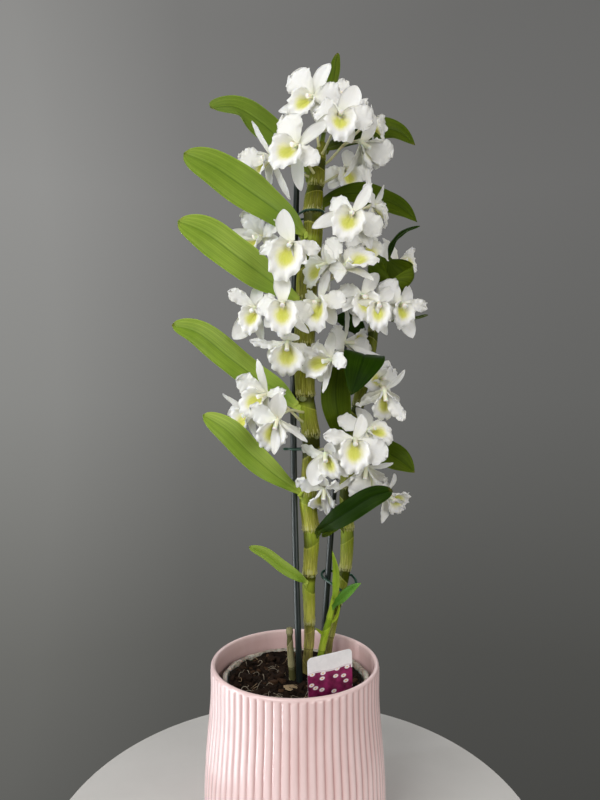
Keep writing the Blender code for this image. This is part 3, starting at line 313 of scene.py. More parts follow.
def coords(nt, scale=(1, 1, 1), uv=False, which="Object"):
    tc = nt.nodes.new("ShaderNodeTexCoord")
    mp = nt.nodes.new("ShaderNodeMapping")
    mp.inputs["Scale"].default_value = scale
    nt.links.new(tc.outputs["UV" if uv else which], mp.inputs["Vector"])
    return mp.outputs[0]


def noise_tex(nt, vec, scale, detail=4, rough=0.55, distort=0.0):
    n = nt.nodes.new("ShaderNodeTexNoise")
    n.inputs["Scale"].default_value = scale
    n.inputs["Detail"].default_value = detail
    n.inputs["Roughness"].default_value = rough
    n.inputs["Distortion"].default_value = distort
    nt.links.new(vec, n.inputs["Vector"])
    return n.outputs["Fac"]


def bump(nt, p, height, strength, distance, before=None):
    n = nt.nodes.new("ShaderNodeBump")
    n.inputs["Strength"].default_value = strength
    n.inputs["Distance"].default_value = distance
    nt.links.new(height, n.inputs["Height"])
    if before is not None:
        nt.links.new(before, n.inputs["Normal"])
    nt.links.new(n.outputs[0], p.inputs["Normal"])
    return n.outputs[0]


# ------------------------------------------------------------------ materials
def petal_material(name, lip=False):
    m, nt, p = new_material(name)
    t, s, tone = attr(nt, "along"), attr(nt, "across"), attr(nt, "tone")
    uvv = coords(nt, (26, 3.0, 1), uv=True)
    veins = noise_tex(nt, uvv, 1.6, 3, 0.5)
    soft = noise_tex(nt, coords(nt), 90, 3, 0.5)
    white = mix(nt, tone, (0.885, 0.875, 0.815), (0.94, 0.932, 0.900))
    # faint veins and a greenish base
    col = mix(nt, math_node(nt, "MULTIPLY", ramp(nt, veins, [(0.40, 0.0), (0.62, 1.0)]), 0.20), white, (0.80, 0.795, 0.68))
    col = mix(nt, ramp(nt, t, [(0.0, 0.66), (0.16, 0.26), (0.40, 0.0)]), col, (0.82, 0.84, 0.56))
    col = mix(nt, math_node(nt, "MULTIPLY", ramp(nt, t, [(0.70, 0.0), (1.0, 1.0)]), 0.07), col, (0.86, 0.82, 0.87))
    col = mix(nt, math_node(nt, "MULTIPLY", ramp(nt, soft, [(0.35, 1.0), (0.6, 0.0)]), 0.10), col, (0.83, 0.80, 0.70))
    if lip:
        throat = attr(nt, "throat")
        ny = noise_tex(nt, coords(nt, (14, 3, 1), uv=True), 2.6, 3, 0.6)
        edge = math_node(nt, "ADD", throat, math_node(nt, "MULTIPLY", math_node(nt, "SUBTRACT", ny, 0.5), 0.42))
        col = mix(nt, ramp(nt, edge, [(0.02, 0.0), (0.45, 0.50), (0.95, 0.90)]), col, (0.76, 0.73, 0.24))
        col = mix(nt, ramp(nt, edge, [(0.62, 0.0), (1.10, 0.75)]), col, (0.54, 0.57, 0.05))
    nt.links.new(col, p.inputs["Base Color"])
    p.inputs["Roughness"].default_value = 0.50
    p.inputs["Subsurface Weight"].default_value = 0.55
    p.inputs["Subsurface Radius"].default_value = (1.0, 0.95, 0.78)
    p.inputs["Subsurface Scale"].default_value = 0.0032
    p.inputs["Specular IOR Level"].default_value = 0.28
    p.inputs["Sheen Weight"].default_value = 0.08
    b = bump(nt, p, veins, 0.36, 0.00028)
    bump(nt, p, noise_tex(nt, coords(nt), 900, 2, 0.5), 0.12, 0.00006, b)
    return m


def column_material():
    m, nt, p = new_material("column_white")
    t = attr(nt, "along")
    col = mix(nt, ramp(nt, t, [(0.0, 0.0), (0.70, 0.15), (0.80, 1.0)]), (0.82, 0.84, 0.62), (0.94, 0.93, 0.88))
    speck = noise_tex(nt, coords(nt), 700, 2)
    col = mix(nt, math_node(nt, "MULTIPLY", ramp(nt, speck, [(0.5, 0.0), (0.7, 1.0)]), 0.2), col, (0.80, 0.74, 0.66))
    nt.links.new(col, p.inputs["Base Color"])
    p.inputs["Roughness"].default_value = 0.4
    p.inputs["Subsurface Weight"].default_value = 0.2
    p.inputs["Subsurface Scale"].default_value = 0.001
    bump(nt, p, speck, 0.2, 0.0001)
    return m


def stalk_material():
    m, nt, p = new_material("flower_stalk")
    t = attr(nt, "along")
    n = noise_tex(nt, coords(nt, (1, 1, 0.3)), 420, 3)
    col = mix(nt, ramp(nt, t, [(0.0, 0.0), (0.55, 0.45), (1.0, 1.0)]), (0.50, 0.50, 0.20), (0.80, 0.80, 0.66))
    col = mix(nt, math_node(nt, "MULTIPLY", n, 0.35), col, (0.62, 0.55, 0.36))
    nt.links.new(col, p.inputs["Base Color"])
    p.inputs["Roughness"].default_value = 0.45
    p.inputs["Subsurface Weight"].default_value = 0.15
    p.inputs["Subsurface Scale"].default_value = 0.001
    bump(nt, p, n, 0.25, 0.0002)
    return m


def leaf_material(name, light, mid, dark, gloss=0.36, foot=None, specular=0.22):
    m, nt, p = new_material(name)
    t, s, tone = attr(nt, "along"), attr(nt, "across"), attr(nt, "tone")
    a = math_node(nt, "ABSOLUTE", s)
    veins = noise_tex(nt, coords(nt, (1.6, 34, 1), uv=True), 1.0, 2, 0.5)
    patch = noise_tex(nt, coords(nt), 34, 4, 0.6)
    broad = noise_tex(nt, coords(nt), 13, 3, 0.5)
    col = mix(nt, ramp(nt, patch, [(0.30, 0.0), (0.68, 1.0)]), mid, light)
    # painted sheen: broad cloudy paler stretches, most on the half turned up
    pale = tuple(min(1, c * k) for c, k in zip(light, (1.42, 1.25, 1.95)))
    up = math_node(nt, "MULTIPLY_ADD", s, 0.16, 0.0)
    painted_sheen_cloud = ramp(nt, math_node(nt, "ADD", broad, up), [(0.44, 0.0), (0.66, 1.0)])
    col = mix(nt, math_node(nt, "MULTIPLY", painted_sheen_cloud, math_node(nt, "MULTIPLY_ADD", tone, 0.55, 0.10)), col, pale)
    col = mix(nt, math_node(nt, "MULTIPLY", ramp(nt, veins, [(0.38, 1.0), (0.60, 0.0)]), 0.42), col, dark)
    # a darker groove along the midrib, paler margins, a paler foot
    col = mix(nt, math_node(nt, "MULTIPLY", ramp(nt, a, [(0.0, 1.0), (0.035, 0.6), (0.08, 0.0)]), 0.62), col, dark)
    col = mix(nt, math_node(nt, "MULTIPLY", ramp(nt, a, [(0.93, 0.0), (1.0, 1.0)]), 0.5), col, tuple(min(1, c * 1.7) for c in light))
    # painted shade towards the cane, where the flowers shade the leaf, before the pale foot
    near = ramp(nt, t, [(0.0, 1.0), (0.18, 0.85), (0.42, 0.0)])
    col = mix(nt, math_node(nt, "MULTIPLY", near, 0.42), col, dark)
    col = mix(nt, ramp(nt, t, [(0.0, 0.80), (0.05, 0.40), (0.15, 0.0)]), col, foot or tuple(min(1, c * 1.25 + 0.01) for c in light))
    tip = math_node(nt, "MULTIPLY", ramp(nt, t, [(0.955, 0.0), (1.0, 1.0)]), ramp(nt, noise_tex(nt, coords(nt), 160, 3), [(0.46, 0.0), (0.64, 1.0)]))
    col = mix(nt, math_node(nt, "MULTIPLY", tip, 0.5), col, (0.24, 0.17, 0.04))
    # small pale scars
    vor = nt.nodes.new("ShaderNodeTexVoronoi")
    vor.inputs["Scale"].default_value = 210
    nt.links.new(coords(nt), vor.inputs["Vector"])
    sc = ramp(nt, vor.outputs["Distance"], [(0.0, 1.0), (0.10, 0.0)])
    col = mix(nt, math_node(nt, "MULTIPLY", math_node(nt, "MULTIPLY", sc, ramp(nt, patch, [(0.55, 0.0), (0.66, 1.0)])), 0.3), col, tuple(min(1, c * 1.8 + 0.02) for c in light))
    # each leaf is made lighter or darker by its tone
    full = mix(nt, tone, (0.72, 0.72, 0.72), (1.22, 1.20, 1.30))
    col = mix(nt, 1.0, col, full, "MULTIPLY")
    nt.links.new(col, p.inputs["Base Color"])
    rough = math_node(nt, "MULTIPLY_ADD", noise_tex(nt, coords(nt), 140, 4), 0.22, gloss - 0.10)
    nt.links.new(rough, p.inputs["Roughness"])
    p.inputs["Specular IOR Level"].default_value = specular
    p.inputs["Subsurface Weight"].default_value = 0.05
    p.inputs["Subsurface Radius"].default_value = (0.5, 1.0, 0.2)
    p.inputs["Subsurface Scale"].default_value = 0.001
    b = bump(nt, p, veins, 0.34, 0.0005)
    b = bump(nt, p, broad, 0.5, 0.004, b)
    bump(nt, p, noise_tex(nt, coords(nt), 420, 3), 0.15, 0.00015, b)
    return m


def cane_material(name, old, green, deep, pale, lime=(0.30, 0.38, 0.035)):
    """along: 0 at the foot to 1 at the tip. into: 0 just above a node to 1 at the node over it. side: 1 towards the leaf. flush: near a leaf's foot."""
    m, nt, p = new_material(name)
    age, into, side, flush = attr(nt, "along"), attr(nt, "into"), attr(nt, "side"), attr(nt, "flush")
    streak = noise_tex(nt, coords(nt, (40, 1.2, 1), uv=True), 1.0, 3, 0.6)
    fine = noise_tex(nt, coords(nt, (130, 4, 1), uv=True), 1.0, 2, 0.6)
    patch = noise_tex(nt, coords(nt), 70, 4, 0.6)
    dark = tuple(c * 0.45 for c in deep)
    base = mix(nt, ramp(nt, age, [(0.0, 0.0), (0.20, 0.30), (0.34, 0.60), (0.50, 1.0)]), old, green)
    base = mix(nt, ramp(nt, age, [(0.0, 1.0), (0.100, 1.0), (0.118, 0.0)]), base, (0.30, 0.245, 0.095))
    base = mix(nt, ramp(nt, patch, [(0.38, 0.0), (0.72, 0.50)]), base, deep)
    base = mix(nt, math_node(nt, "MULTIPLY", ramp(nt, streak, [(0.46, 0.0), (0.56, 1.0)]), 0.72), base, deep)
    base = mix(nt, math_node(nt, "MULTIPLY", ramp(nt, fine, [(0.52, 0.0), (0.60, 1.0)]), 0.42), base, tuple(min(1, c * 2.1 + 0.01) for c in green))
    # papery strands of the sheath, thick at its hem and thinning upwards
    low = math_node(nt, "SUBTRACT", into, math_node(nt, "MULTIPLY", math_node(nt, "SUBTRACT", streak, 0.5), 2.4))
    paper = math_node(nt, "MULTIPLY", ramp(nt, low, [(0.0, 1.0), (0.22, 0.80), (0.46, 0.18), (0.70, 0.0)]), ramp(nt, fine, [(0.42, 0.20), (0.56, 1.0)]))
    paper = math_node(nt, "MULTIPLY", paper, ramp(nt, into, [(0.0, 1.0), (0.62, 1.0), (0.74, 0.0)]))
    paper = math_node(nt, "MULTIPLY", paper, ramp(nt, age, [(0.0, 1.0), (0.30, 0.9), (0.50, 0.45), (1.0, 0.24)]))
    base = mix(nt, ramp(nt, age, [(0.50, 0.0), (0.72, 0.26), (1.0, 0.26)]), base, deep)
    base = mix(nt, math_node(nt, "MULTIPLY", paper, 0.80), base, pale)
    # the smooth dark band of the joint above the sheath's oblique mouth, and the fringe that hangs over it
    mouth = math_node(nt, "ADD", into, math_node(nt, "MULTIPLY_ADD", side, -0.110, 0.0))
    mouth = math_node(nt, "ADD", mouth, math_node(nt, "MULTIPLY", math_node(nt, "SUBTRACT", streak, 0.5), 0.06))
    band = ramp(nt, mouth, [(0.0, 0.0), (0.680, 0.0), (0.705, 1.0), (1.0, 1.0)])
    green_band = mix(nt, ramp(nt, patch, [(0.35, 0.0), (0.65, 1.0)]), deep, tuple(c * 0.70 for c in deep))
    band = math_node(nt, "MULTIPLY", band, ramp(nt, age, [(0.0, 0.0), (0.100, 0.0), (0.118, 1.0)]))
    base = mix(nt, math_node(nt, "MULTIPLY", band, 0.97), base, green_band)
    lip_line = ramp(nt, mouth, [(0.650, 0.0), (0.675, 1.0), (0.695, 0.0)])
    base = mix(nt, math_node(nt, "MULTIPLY", lip_line, 0.35), base, pale)
    # young lime flesh under each leaf's foot
    soft = math_node(nt, "MULTIPLY", flush, math_node(nt, "MULTIPLY_ADD", streak, -0.5, 1.15))
    base = mix(nt, soft, base, lime)
    fringe = math_node(nt, "MULTIPLY", ramp(nt, into, [(0.93, 0.0), (0.98, 1.0), (1.0, 1.0)]), ramp(nt, fine, [(0.50, 0.0), (0.56, 1.0)]))
    base = mix(nt, math_node(nt, "MULTIPLY", fringe, 0.70), base, pale)
    line = ramp(nt, into, [(0.0, 1.0), (0.020, 0.0), (0.985, 0.0), (1.0, 1.0)])
    base = mix(nt, math_node(nt, "MULTIPLY", line, 0.8), base, dark)
    nt.links.new(base, p.inputs["Base Color"])
    nt.links.new(math_node(nt, "MULTIPLY_ADD", paper, 0.34, 0.27), p.inputs["Roughness"])
    p.inputs["Specular IOR Level"].default_value = 0.11
    b = bump(nt, p, streak, 0.7, 0.0008)
    bump(nt, p, fine, 0.45, 0.00035, b)
    return m


def glaze_material():
    m, nt, p = new_material("pink_glaze")
    rib = attr(nt, "rib")
    n1 = noise_tex(nt, coords(nt), 26, 5, 0.6)
    n2 = noise_tex(nt, coords(nt, (1, 1, 0.25)), 120, 3, 0.6)
    # lighter on rib crests and darker in the grooves: partly the glaze thinning on crests and pooling in grooves,
    # partly a painted highlight on the crests and painted shade in the grooves
    col = mix(nt, ramp(nt, rib, [(0.0, 0.0), (0.60, 0.55), (0.86, 0.85), (1.0, 1.0)]), (0.56, 0.31, 0.30), (0.87, 0.675, 0.67))
    col = mix(nt, math_node(nt, "MULTIPLY", ramp(nt, n1, [(0.35, 0.0), (0.7, 1.0)]), 0.30), col, (0.90, 0.715, 0.715))
    col = mix(nt, math_node(nt, "MULTIPLY", ramp(nt, n2, [(0.40, 1.0), (0.55, 0.0)]), 0.12), col, (0.62, 0.38, 0.36))
    vor = nt.nodes.new("ShaderNodeTexVoronoi")
    vor.inputs["Scale"].default_value = 330
    nt.links.new(coords(nt), vor.inputs["Vector"])
    speck = math_node(nt, "MULTIPLY", ramp(nt, vor.outputs["Distance"], [(0.0, 1.0), (0.14, 0.0)]), ramp(nt, n1, [(0.5, 0.0), (0.6, 1.0)]))
    col = mix(nt, math_node(nt, "MULTIPLY", speck, 0.25), col, (0.45, 0.26, 0.22))
    nt.links.new(col, p.inputs["Base Color"])
    nt.links.new(math_node(nt, "MULTIPLY_ADD", n1, 0.10, 0.09), p.inputs["Roughness"])
    p.inputs["Specular IOR Level"].default_value = 0.55
    b = bump(nt, p, n1, 0.10, 0.0012)
    bump(nt, p, n2, 0.10, 0.0002, b)
    return m


def liner_material():
    m, nt, p = new_material("pale_plastic")
    n = noise_tex(nt, coords(nt), 60, 4)
    col = mix(nt, ramp(nt, n, [(0.35, 0.0), (0.65, 1.0)]), (0.36, 0.32, 0.26), (0.60, 0.56, 0.50))
    dirt = noise_tex(nt, coords(nt), 210, 4, 0.7)
    col = mix(nt, math_node(nt, "MULTIPLY", ramp(nt, dirt, [(0.48, 0.0), (0.62, 1.0)]), 0.7), col, (0.10, 0.06, 0.035))
    nt.links.new(col, p.inputs["Base Color"])
    p.inputs["Roughness"].default_value = 0.42
    p.inputs["Subsurface Weight"].default_value = 0.3
    p.inputs["Subsurface Scale"].default_value = 0.003
    bump(nt, p, n, 0.3, 0.001)
    return m


def soil_material(name, a, b_, c):
    m, nt, p = new_material(name)
    tone = attr(nt, "tone")
    n = noise_tex(nt, coords(nt), 160, 6, 0.7)
    f = noise_tex(nt, coords(nt, (1, 1, 3)), 700, 3, 0.7)
    col = mix(nt, ramp(nt, n, [(0.35, 0.0), (0.65, 1.0)]), a, b_)
    col = mix(nt, math_node(nt, "MULTIPLY", tone, 0.75), col, c)
    col = mix(nt, math_node(nt, "MULTIPLY", ramp(nt, f, [(0.5, 0.0), (0.7, 1.0)]), 0.35), col, tuple(min(1, x * 1.8) for x in c))
    nt.links.new(col, p.inputs["Base Color"])
    p.inputs["Roughness"].default_value = 0.85
    p.inputs["Specular IOR Level"].default_value = 0.10
    b = bump(nt, p, n, 0.9, 0.002)
    bump(nt, p, f, 0.6, 0.0006, b)
    return m


def plastic_material(name, colour, light, rough=0.32, grain=600):
    m, nt, p = new_material(name)
    n = noise_tex(nt, coords(nt, (1, 1, 0.15)), 240, 3)
    g = noise_tex(nt, coords(nt), grain, 2)
    col = mix(nt, ramp(nt, n, [(0.4, 0.0), (0.68, 1.0)]), colour, light)
    nt.links.new(col, p.inputs["Base Color"])
    nt.links.new(math_node(nt, "MULTIPLY_ADD", g, 0.2, rough - 0.08), p.inputs["Roughness"])
    b = bump(nt, p, n, 0.25, 0.0004)
    bump(nt, p, g, 0.2, 0.0001, b)
    return m


def label_material():
    """A white head over a plum-coloured field with loose pale dots and a soft wave: a plain design of no one's."""
    m, nt, p = new_material("label_print")
    u, v = attr(nt, "lu"), attr(nt, "lv")
    wave = math_node(nt, "MULTIPLY", math_node(nt, "SINE", math_node(nt, "MULTIPLY", u, 9.0)), 0.018)
    vv = math_node(nt, "ADD", v, wave)
    field = ramp(nt, vv, [(0.0, 0.0), (0.395, 0.0), (0.402, 1.0), (1.0, 1.0)])
    n = noise_tex(nt, coords(nt), 130, 4, 0.6)
    plum = mix(nt, ramp(nt, n, [(0.35, 0.0), (0.65, 1.0)]), (0.10, 0.004, 0.035), (0.30, 0.02, 0.12))
    # loose round dots, laid on a skewed lattice
    comb = nt.nodes.new("ShaderNodeCombineXYZ")
    nt.links.new(math_node(nt, "MULTIPLY", u, 4.2), comb.inputs[0])
    nt.links.new(math_node(nt, "MULTIPLY", v, 5.6), comb.inputs[1])
    vor = nt.nodes.new("ShaderNodeTexVoronoi")
    vor.inputs["Scale"].default_value = 1.0
    vor.voronoi_dimensions = "2D"
    vor.inputs["Randomness"].default_value = 0.75
    nt.links.new(comb.outputs[0], vor.inputs["Vector"])
    d = vor.outputs["Distance"]
    pick = nt.nodes.new("ShaderNodeSeparateColor")
    nt.links.new(vor.outputs["Color"], pick.inputs[0])
    ring = ramp(nt, d, [(0.0, 1.0), (0.22, 1.0), (0.27, 0.0)])
    eye = ramp(nt, d, [(0.0, 1.0), (0.07, 1.0), (0.10, 0.0)])
    dots = math_node(nt, "MULTIPLY", ring, ramp(nt, pick.outputs[0], [(0.30, 0.0), (0.34, 1.0)]))
    plum = mix(nt, dots, plum, (0.85, 0.80, 0.82))
    plum = mix(nt, math_node(nt, "MULTIPLY", dots, eye), plum, (0.80, 0.55, 0.12))
    head = mix(nt, ramp(nt, n, [(0.4, 0.0), (0.6, 1.0)]), (0.80, 0.79, 0.80), (0.86, 0.85, 0.86))
    rim = ramp(nt, vv, [(0.360, 0.0), (0.368, 1.0), (0.380, 1.0), (0.388, 0.0)])
    head = mix(nt, math_node(nt, "MULTIPLY", rim, 0.35), head, (0.45, 0.20, 0.30))
    col = mix(nt, field, head, plum)
    edge = attr(nt, "back")
    col = mix(nt, edge, col, (0.84, 0.83, 0.84))
    nt.links.new(col, p.inputs["Base Color"])
    p.inputs["Roughness"].default_value = 0.34
    p.inputs["Specular IOR Level"].default_value = 0.45
    bump(nt, p, noise_tex(nt, coords(nt), 900, 2), 0.1, 0.00008)
    return m


# ------------------------------------------------------------------ mesh helpers
def add_mesh(name, verts, faces, mats, index=None, attrs=None, uv=None, smooth_angle=None, node=None, slot=None):
    me = bpy.data.meshes.new(name)
    verts = np.asarray(verts, float)
    me.from_pydata(verts.tolist(), [], [tuple(int(i) for i in f) for f in faces])
    me.update()
    for m in mats:
        me.materials.append(m)
    if index is not None:
        me.polygons.foreach_set("material_index", np.asarray(index, np.int32))
    for k, v in (attrs or {}).items():
        a = me.attributes.new(k, "FLOAT", "POINT")
        a.data.foreach_set("value", np.asarray(v, np.float32))
    if uv is not None:
        layer = me.uv_layers.new(name="UVMap")
        loops = np.zeros(len(me.loops), np.int32)
        me.loops.foreach_get("vertex_index", loops)
        layer.data.foreach_set("uv", np.asarray(uv, np.float32)[loops].ravel())
    o = bpy.data.objects.new(name, me)
    bpy.context.scene.collection.objects.link(o)
    me.shade_smooth()
    if smooth_angle is not None:
        me.set_sharp_from_angle(angle=math.radians(smooth_angle))
    if node is not None:
        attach(o, "root")
        if node:
            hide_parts(*([node] if isinstance(node, str) else node))
    return o


class Bag:
    """Meshes gathered into one object, with the same attributes on each."""

    def __init__(self, keys):
        self.v, self.f, self.i, self.uv = [], [], [], []
        self.a = {k: [] for k in keys}
        self.n = 0

    def put(self, verts, faces, index, uv=None, **attrs):
        verts = np.asarray(verts, float).reshape(-1, 3)
        self.v.append(verts)
        self.f += [tuple(int(i) + self.n for i in f) for f in faces]
        self.i += [index] * len(faces)
        self.uv.append(np.zeros((len(verts), 2)) if uv is None else np.asarray(uv, float).reshape(-1, 2))
        for k in self.a:
            x = attrs.get(k, 0.0)
            self.a[k].append(np.full(len(verts), x, float) if np.isscalar(x) else np.asarray(x, float).ravel())
        self.n += len(verts)

    def make(self, name, mats, **kw):
        return add_mesh(name, np.concatenate(self.v), self.f, mats, self.i, {k: np.concatenate(x) for k, x in self.a.items()}, np.concatenate(self.uv), **kw)


def unit(a):
    return a / np.maximum(np.linalg.norm(a, axis=-1, keepdims=True), 1e-12)


def skin(P, T):
    """A closed sheet: a grid of points P (n, m, 3) thickened by T (n, m). Gives verts, faces and, for each vertex, its grid index."""
    n, m = P.shape[:2]
    du = np.gradient(P, axis=0)
    dv = np.gradient(P, axis=1)
    N = unit(np.cross(du, dv))
    top = P + N * T[..., None] / 2
    bot = P - N * T[..., None] / 2
    verts = np.concatenate([top.reshape(-1, 3), bot.reshape(-1, 3)])
    k = np.arange(n * m).reshape(n, m)
    q = np.stack([k[:-1, :-1], k[1:, :-1], k[1:, 1:], k[:-1, 1:]], -1).reshape(-1, 4)
    faces = [tuple(x) for x in q] + [tuple(x[::-1]) for x in q + n * m]
    o = n * m
    border = list(k[:, 0]) + list(k[-1, 1:]) + list(k[:-1, -1][::-1]) + list(k[0, 1:-1][::-1])
    for a, b in zip(border, border[1:] + border[:1]):
        faces.append((a, a + o, b + o, b)[::-1])
    return verts, faces, np.concatenate([k.ravel(), k.ravel()])


def tube(points, radii, sides, frame_up=None, close=True, wobble=None):
    """A tube with rounded-off ends. wobble(i, angle) scales the radius."""
    P = np.asarray([tuple(p) for p in points], float)
    R = np.asarray(radii, float)
    n = len(P)
    T = unit(np.gradient(P, axis=0))
    ref = np.array(frame_up if frame_up is not None else (0.0, -1.0, 0.0))
    X = unit(ref - T[0] * (T[0] @ ref))
    verts = []
    for i in range(n):
        X = unit(X - T[i] * (T[i] @ X))
        Y = np.cross(T[i], X)
        for j in range(sides):
            a = 2 * math.pi * j / sides
            r = R[i] * (wobble(i, a) if wobble else 1.0)
            verts.append(P[i] + X * (r * math.cos(a)) + Y * (r * math.sin(a)))
    faces = []
    for i in range(n - 1):
        for j in range(sides):
            k = (j + 1) % sides
            faces.append((i * sides + j, i * sides + k, (i + 1) * sides + k, (i + 1) * sides + j))
    if close:
        verts.append(P[0] - T[0] * R[0] * 0.35)
        verts.append(P[-1] + T[-1] * R[-1] * 0.35)
        a, b = n * sides, n * sides + 1
        for j in range(sides):
            k = (j + 1) % sides
            faces.append((a, k, j))
            faces.append((b, (n - 1) * sides + j, (n - 1) * sides + k))
    uv = [(j / sides, i / max(1, n - 1)) for i in range(n) for j in range(sides)]
    t = [i / max(1, n - 1) for i in range(n) for j in range(sides)]
    if close:
        uv += [(0, 0), (0, 1)]
        t += [0.0, 1.0]
    return np.array(verts), faces, np.array(uv), np.array(t)


def spline_points(points, n):
    """n + 1 points spaced evenly in parameter on a Catmull-Rom curve through the given ones."""
    pts = [Vector(p) for p in points]
    pts = [pts[0] * 2 - pts[1]] + pts + [pts[-1] * 2 - pts[-2]]
    spans = len(pts) - 3
    out = []
    for k in range(n + 1):
        t = k / n * spans
        i = min(int(t), spans - 1)
        t -= i
        a, b, c, d = pts[i:i + 4]
        out.append(0.5 * ((2 * b) + (c - a) * t + (2 * a - 5 * b + 4 * c - d) * t * t + (3 * b - a - 3 * c + d) * t ** 3))
    return out


# ------------------------------------------------------------------ pots
def lathe(profile, steps, radial=None):
    """profile: (r, z) from the axis outside-in to the axis again; radial(r, z, angle) gives the radius there."""
    verts, faces = [], []
    n = len(profile)
    for i, (r, z) in enumerate(profile):
        for j in range(steps):
            a = 2 * math.pi * j / steps
            rr = radial(i, r, z, a) if radial else r
            verts.append((rr * math.cos(a), rr * math.sin(a), z))
    for i in range(n - 1):
        for j in range(steps):
            k = (j + 1) % steps
            faces.append((i * steps + j, (i + 1) * steps + j, (i + 1) * steps + k, i * steps + k))
    return np.array(verts), faces


def arc(cx, cz, r, a0, a1, n):
    return [(cx + r * math.cos(math.radians(a0 + (a1 - a0) * i / n)), cz + r * math.sin(math.radians(a0 + (a1 - a0) * i / n))) for i in range(n + 1)]


def cover_pot():
    r, w = POT_RIM_R, POT_WALL
    rim = arc(r - w / 2, POT_H - w / 2, w / 2, 180, 0, 12)          # inner side over the top to the outer side
    outer = []
    for i in range(1, 57):
        z = POT_H - w / 2 - (POT_H - w / 2 - 0.009) * (i / 56) ** 1.6
        outer.append(((pot_outer(z - 0.006) + pot_outer(z) * 2 + pot_outer(z + 0.006)) / 4 if z < 0.125 else pot_outer(z), z))
    foot = [(POT_BELLY_R - 0.0008, 0.0060), (POT_BELLY_R - 0.0018, 0.0034), (POT_BELLY_R - 0.0036, 0.0014), (POT_BELLY_R - 0.0058, 0.0004), (POT_BELLY_R - 0.0082, 0.0), (0.04, 0.0), (0.0004, 0.0)]
    inner = [(0.0004, POT_FLOOR), (0.04, POT_FLOOR), (POT_BELLY_R - w - 0.006, POT_FLOOR), (POT_BELLY_R - w - 0.002, POT_FLOOR + 0.003), (POT_BELLY_R - w - 0.0006, POT_FLOOR + 0.010)]
    for i in range(1, 20):
        z = POT_FLOOR + 0.010 + (POT_H - w / 2 - POT_FLOOR - 0.010) * i / 20
        inner.append((pot_outer(z) - w, z))
    profile = rim + outer + foot + inner
    lo, hi = len(rim), len(rim) + len(outer)
    steps = RIBS * 8
    ribs = np.zeros((len(profile), steps))

    def radial(i, rr, z, a):
        j = int(round(a / (2 * math.pi) * steps)) % steps
        if lo <= i < hi:
            start = POT_H - 0.0020 + 0.0003 * math.sin(math.floor(a * RIBS / 2 / math.pi + 0.5) * 2.3)
            fade = min(1.0, max(0.0, (start - z) / 0.0014)) * min(1.0, max(0.0, (z - 0.006) / 0.006))
            x = abs(math.cos(a * RIBS / 2))                # 1 on a rib's crest, 0 in its groove
            s = x ** 0.44
            # the rib value lightens the glaze on crests and darkens it in grooves: partly glaze thinning and pooling,
            # partly painted highlight and painted shade
            ribs[i, j] = s * fade + (1 - fade) * 0.8
            return rr + RIB_H * 1.10 * (s - 0.70) * fade + 0.00018 * math.sin(a * 5 + z * 60) * fade
        ribs[i, j] = 0.8 if i < lo else 0.55
        return rr

    verts, faces = lathe(profile, steps, radial)
    n = len(profile)
    faces += [((n - 1) * steps + j, j, (j + 1) % steps, (n - 1) * steps + (j + 1) % steps) for j in range(steps)]
    o = add_mesh("ribbed_cover_pot", verts, faces, [MAT["glaze"]], attrs={"rib": ribs.ravel()}, node="cover_pot", slot="glazed_ceramic")
    fix_normals(o)


def fix_normals(o):
    bm = bmesh.new()
    bm.from_mesh(o.data)
    bmesh.ops.remove_doubles(bm, verts=bm.verts, dist=1e-7)
    bmesh.ops.recalc_face_normals(bm, faces=bm.faces)
    bm.to_mesh(o.data)
    bm.free()


def nursery_pot():
    foot = POT_FLOOR + GAP
    w, rr = LINER_WALL, LINER_RIM_R
    inner_top = rr - 0.0026
    steps = 220
    profile = arc(rr - 0.0009, LINER_RIM_Z - 0.0009, 0.0009, 90, -90, 6)[0:] + [(rr - 0.0006, LINER_RIM_Z - 0.0030), (inner_top + 0.0002, LINER_RIM_Z - 0.0042)]
    for i in range(1, 12):
        t = i / 12
        profile.append((inner_top + 0.0002 + (LINER_FOOT_R - inner_top) * t, LINER_RIM_Z - 0.0042 + (foot + 0.002 - LINER_RIM_Z + 0.0042) * t))
    profile += [(LINER_FOOT_R, foot + 0.002), (LINER_FOOT_R - 0.0015, foot), (0.0004, foot), (0.0004, foot + w), (LINER_FOOT_R - 0.0015 - w * 0.5, foot + w), (LINER_FOOT_R - w, foot + 0.0035)]
    for i in range(1, 12):
        t = i / 12
        profile.append((LINER_FOOT_R - w + (inner_top - w - LINER_FOOT_R + w) * t, foot + 0.0035 + (LINER_RIM_Z - 0.002 - foot - 0.0035) * t))
    profile += [(inner_top - w, LINER_RIM_Z - 0.0015), (inner_top - w * 0.6, LINER_RIM_Z - 0.0002), (rr - 0.0022, LINER_RIM_Z)]

    def radial(i, r, z, a):
        k = max(0.0, (z - 0.09) / 0.03)
        return r + (0.0007 * math.sin(a * 3 + 1) + 0.0004 * math.sin(a * 8 + 2) + 0.00025 * math.sin(a * 19)) * k

    verts, faces = lathe(profile, steps, radial)
    for v in verts:
        a = math.atan2(v[1], v[0])
        if v[2] > 0.1:
            v[2] += (0.0006 * math.sin(a * 2 + 0.6) + 0.0004 * math.sin(a * 7 + 1.3) + 0.00025 * math.sin(a * 17)) * (v[2] - 0.1) / 0.02 - 0.0003
    n = len(profile)
    faces += [((n - 1) * steps + j, j, (j + 1) % steps, (n - 1) * steps + (j + 1) % steps) for j in range(steps)]
    o = add_mesh("inner_nursery_pot", verts, faces, [MAT["liner"]], node="nursery_pot", slot="pale_plastic")
    fix_normals(o)


def liner_inner(z):
    foot = POT_FLOOR + GAP
    a = (LINER_FOOT_R - LINER_WALL, foot + 0.0035)
    b = (LINER_RIM_R - 0.0026 - LINER_WALL, LINER_RIM_Z)
    return a[0] + (b[0] - a[0]) * (z - a[1]) / (b[1] - a[1])


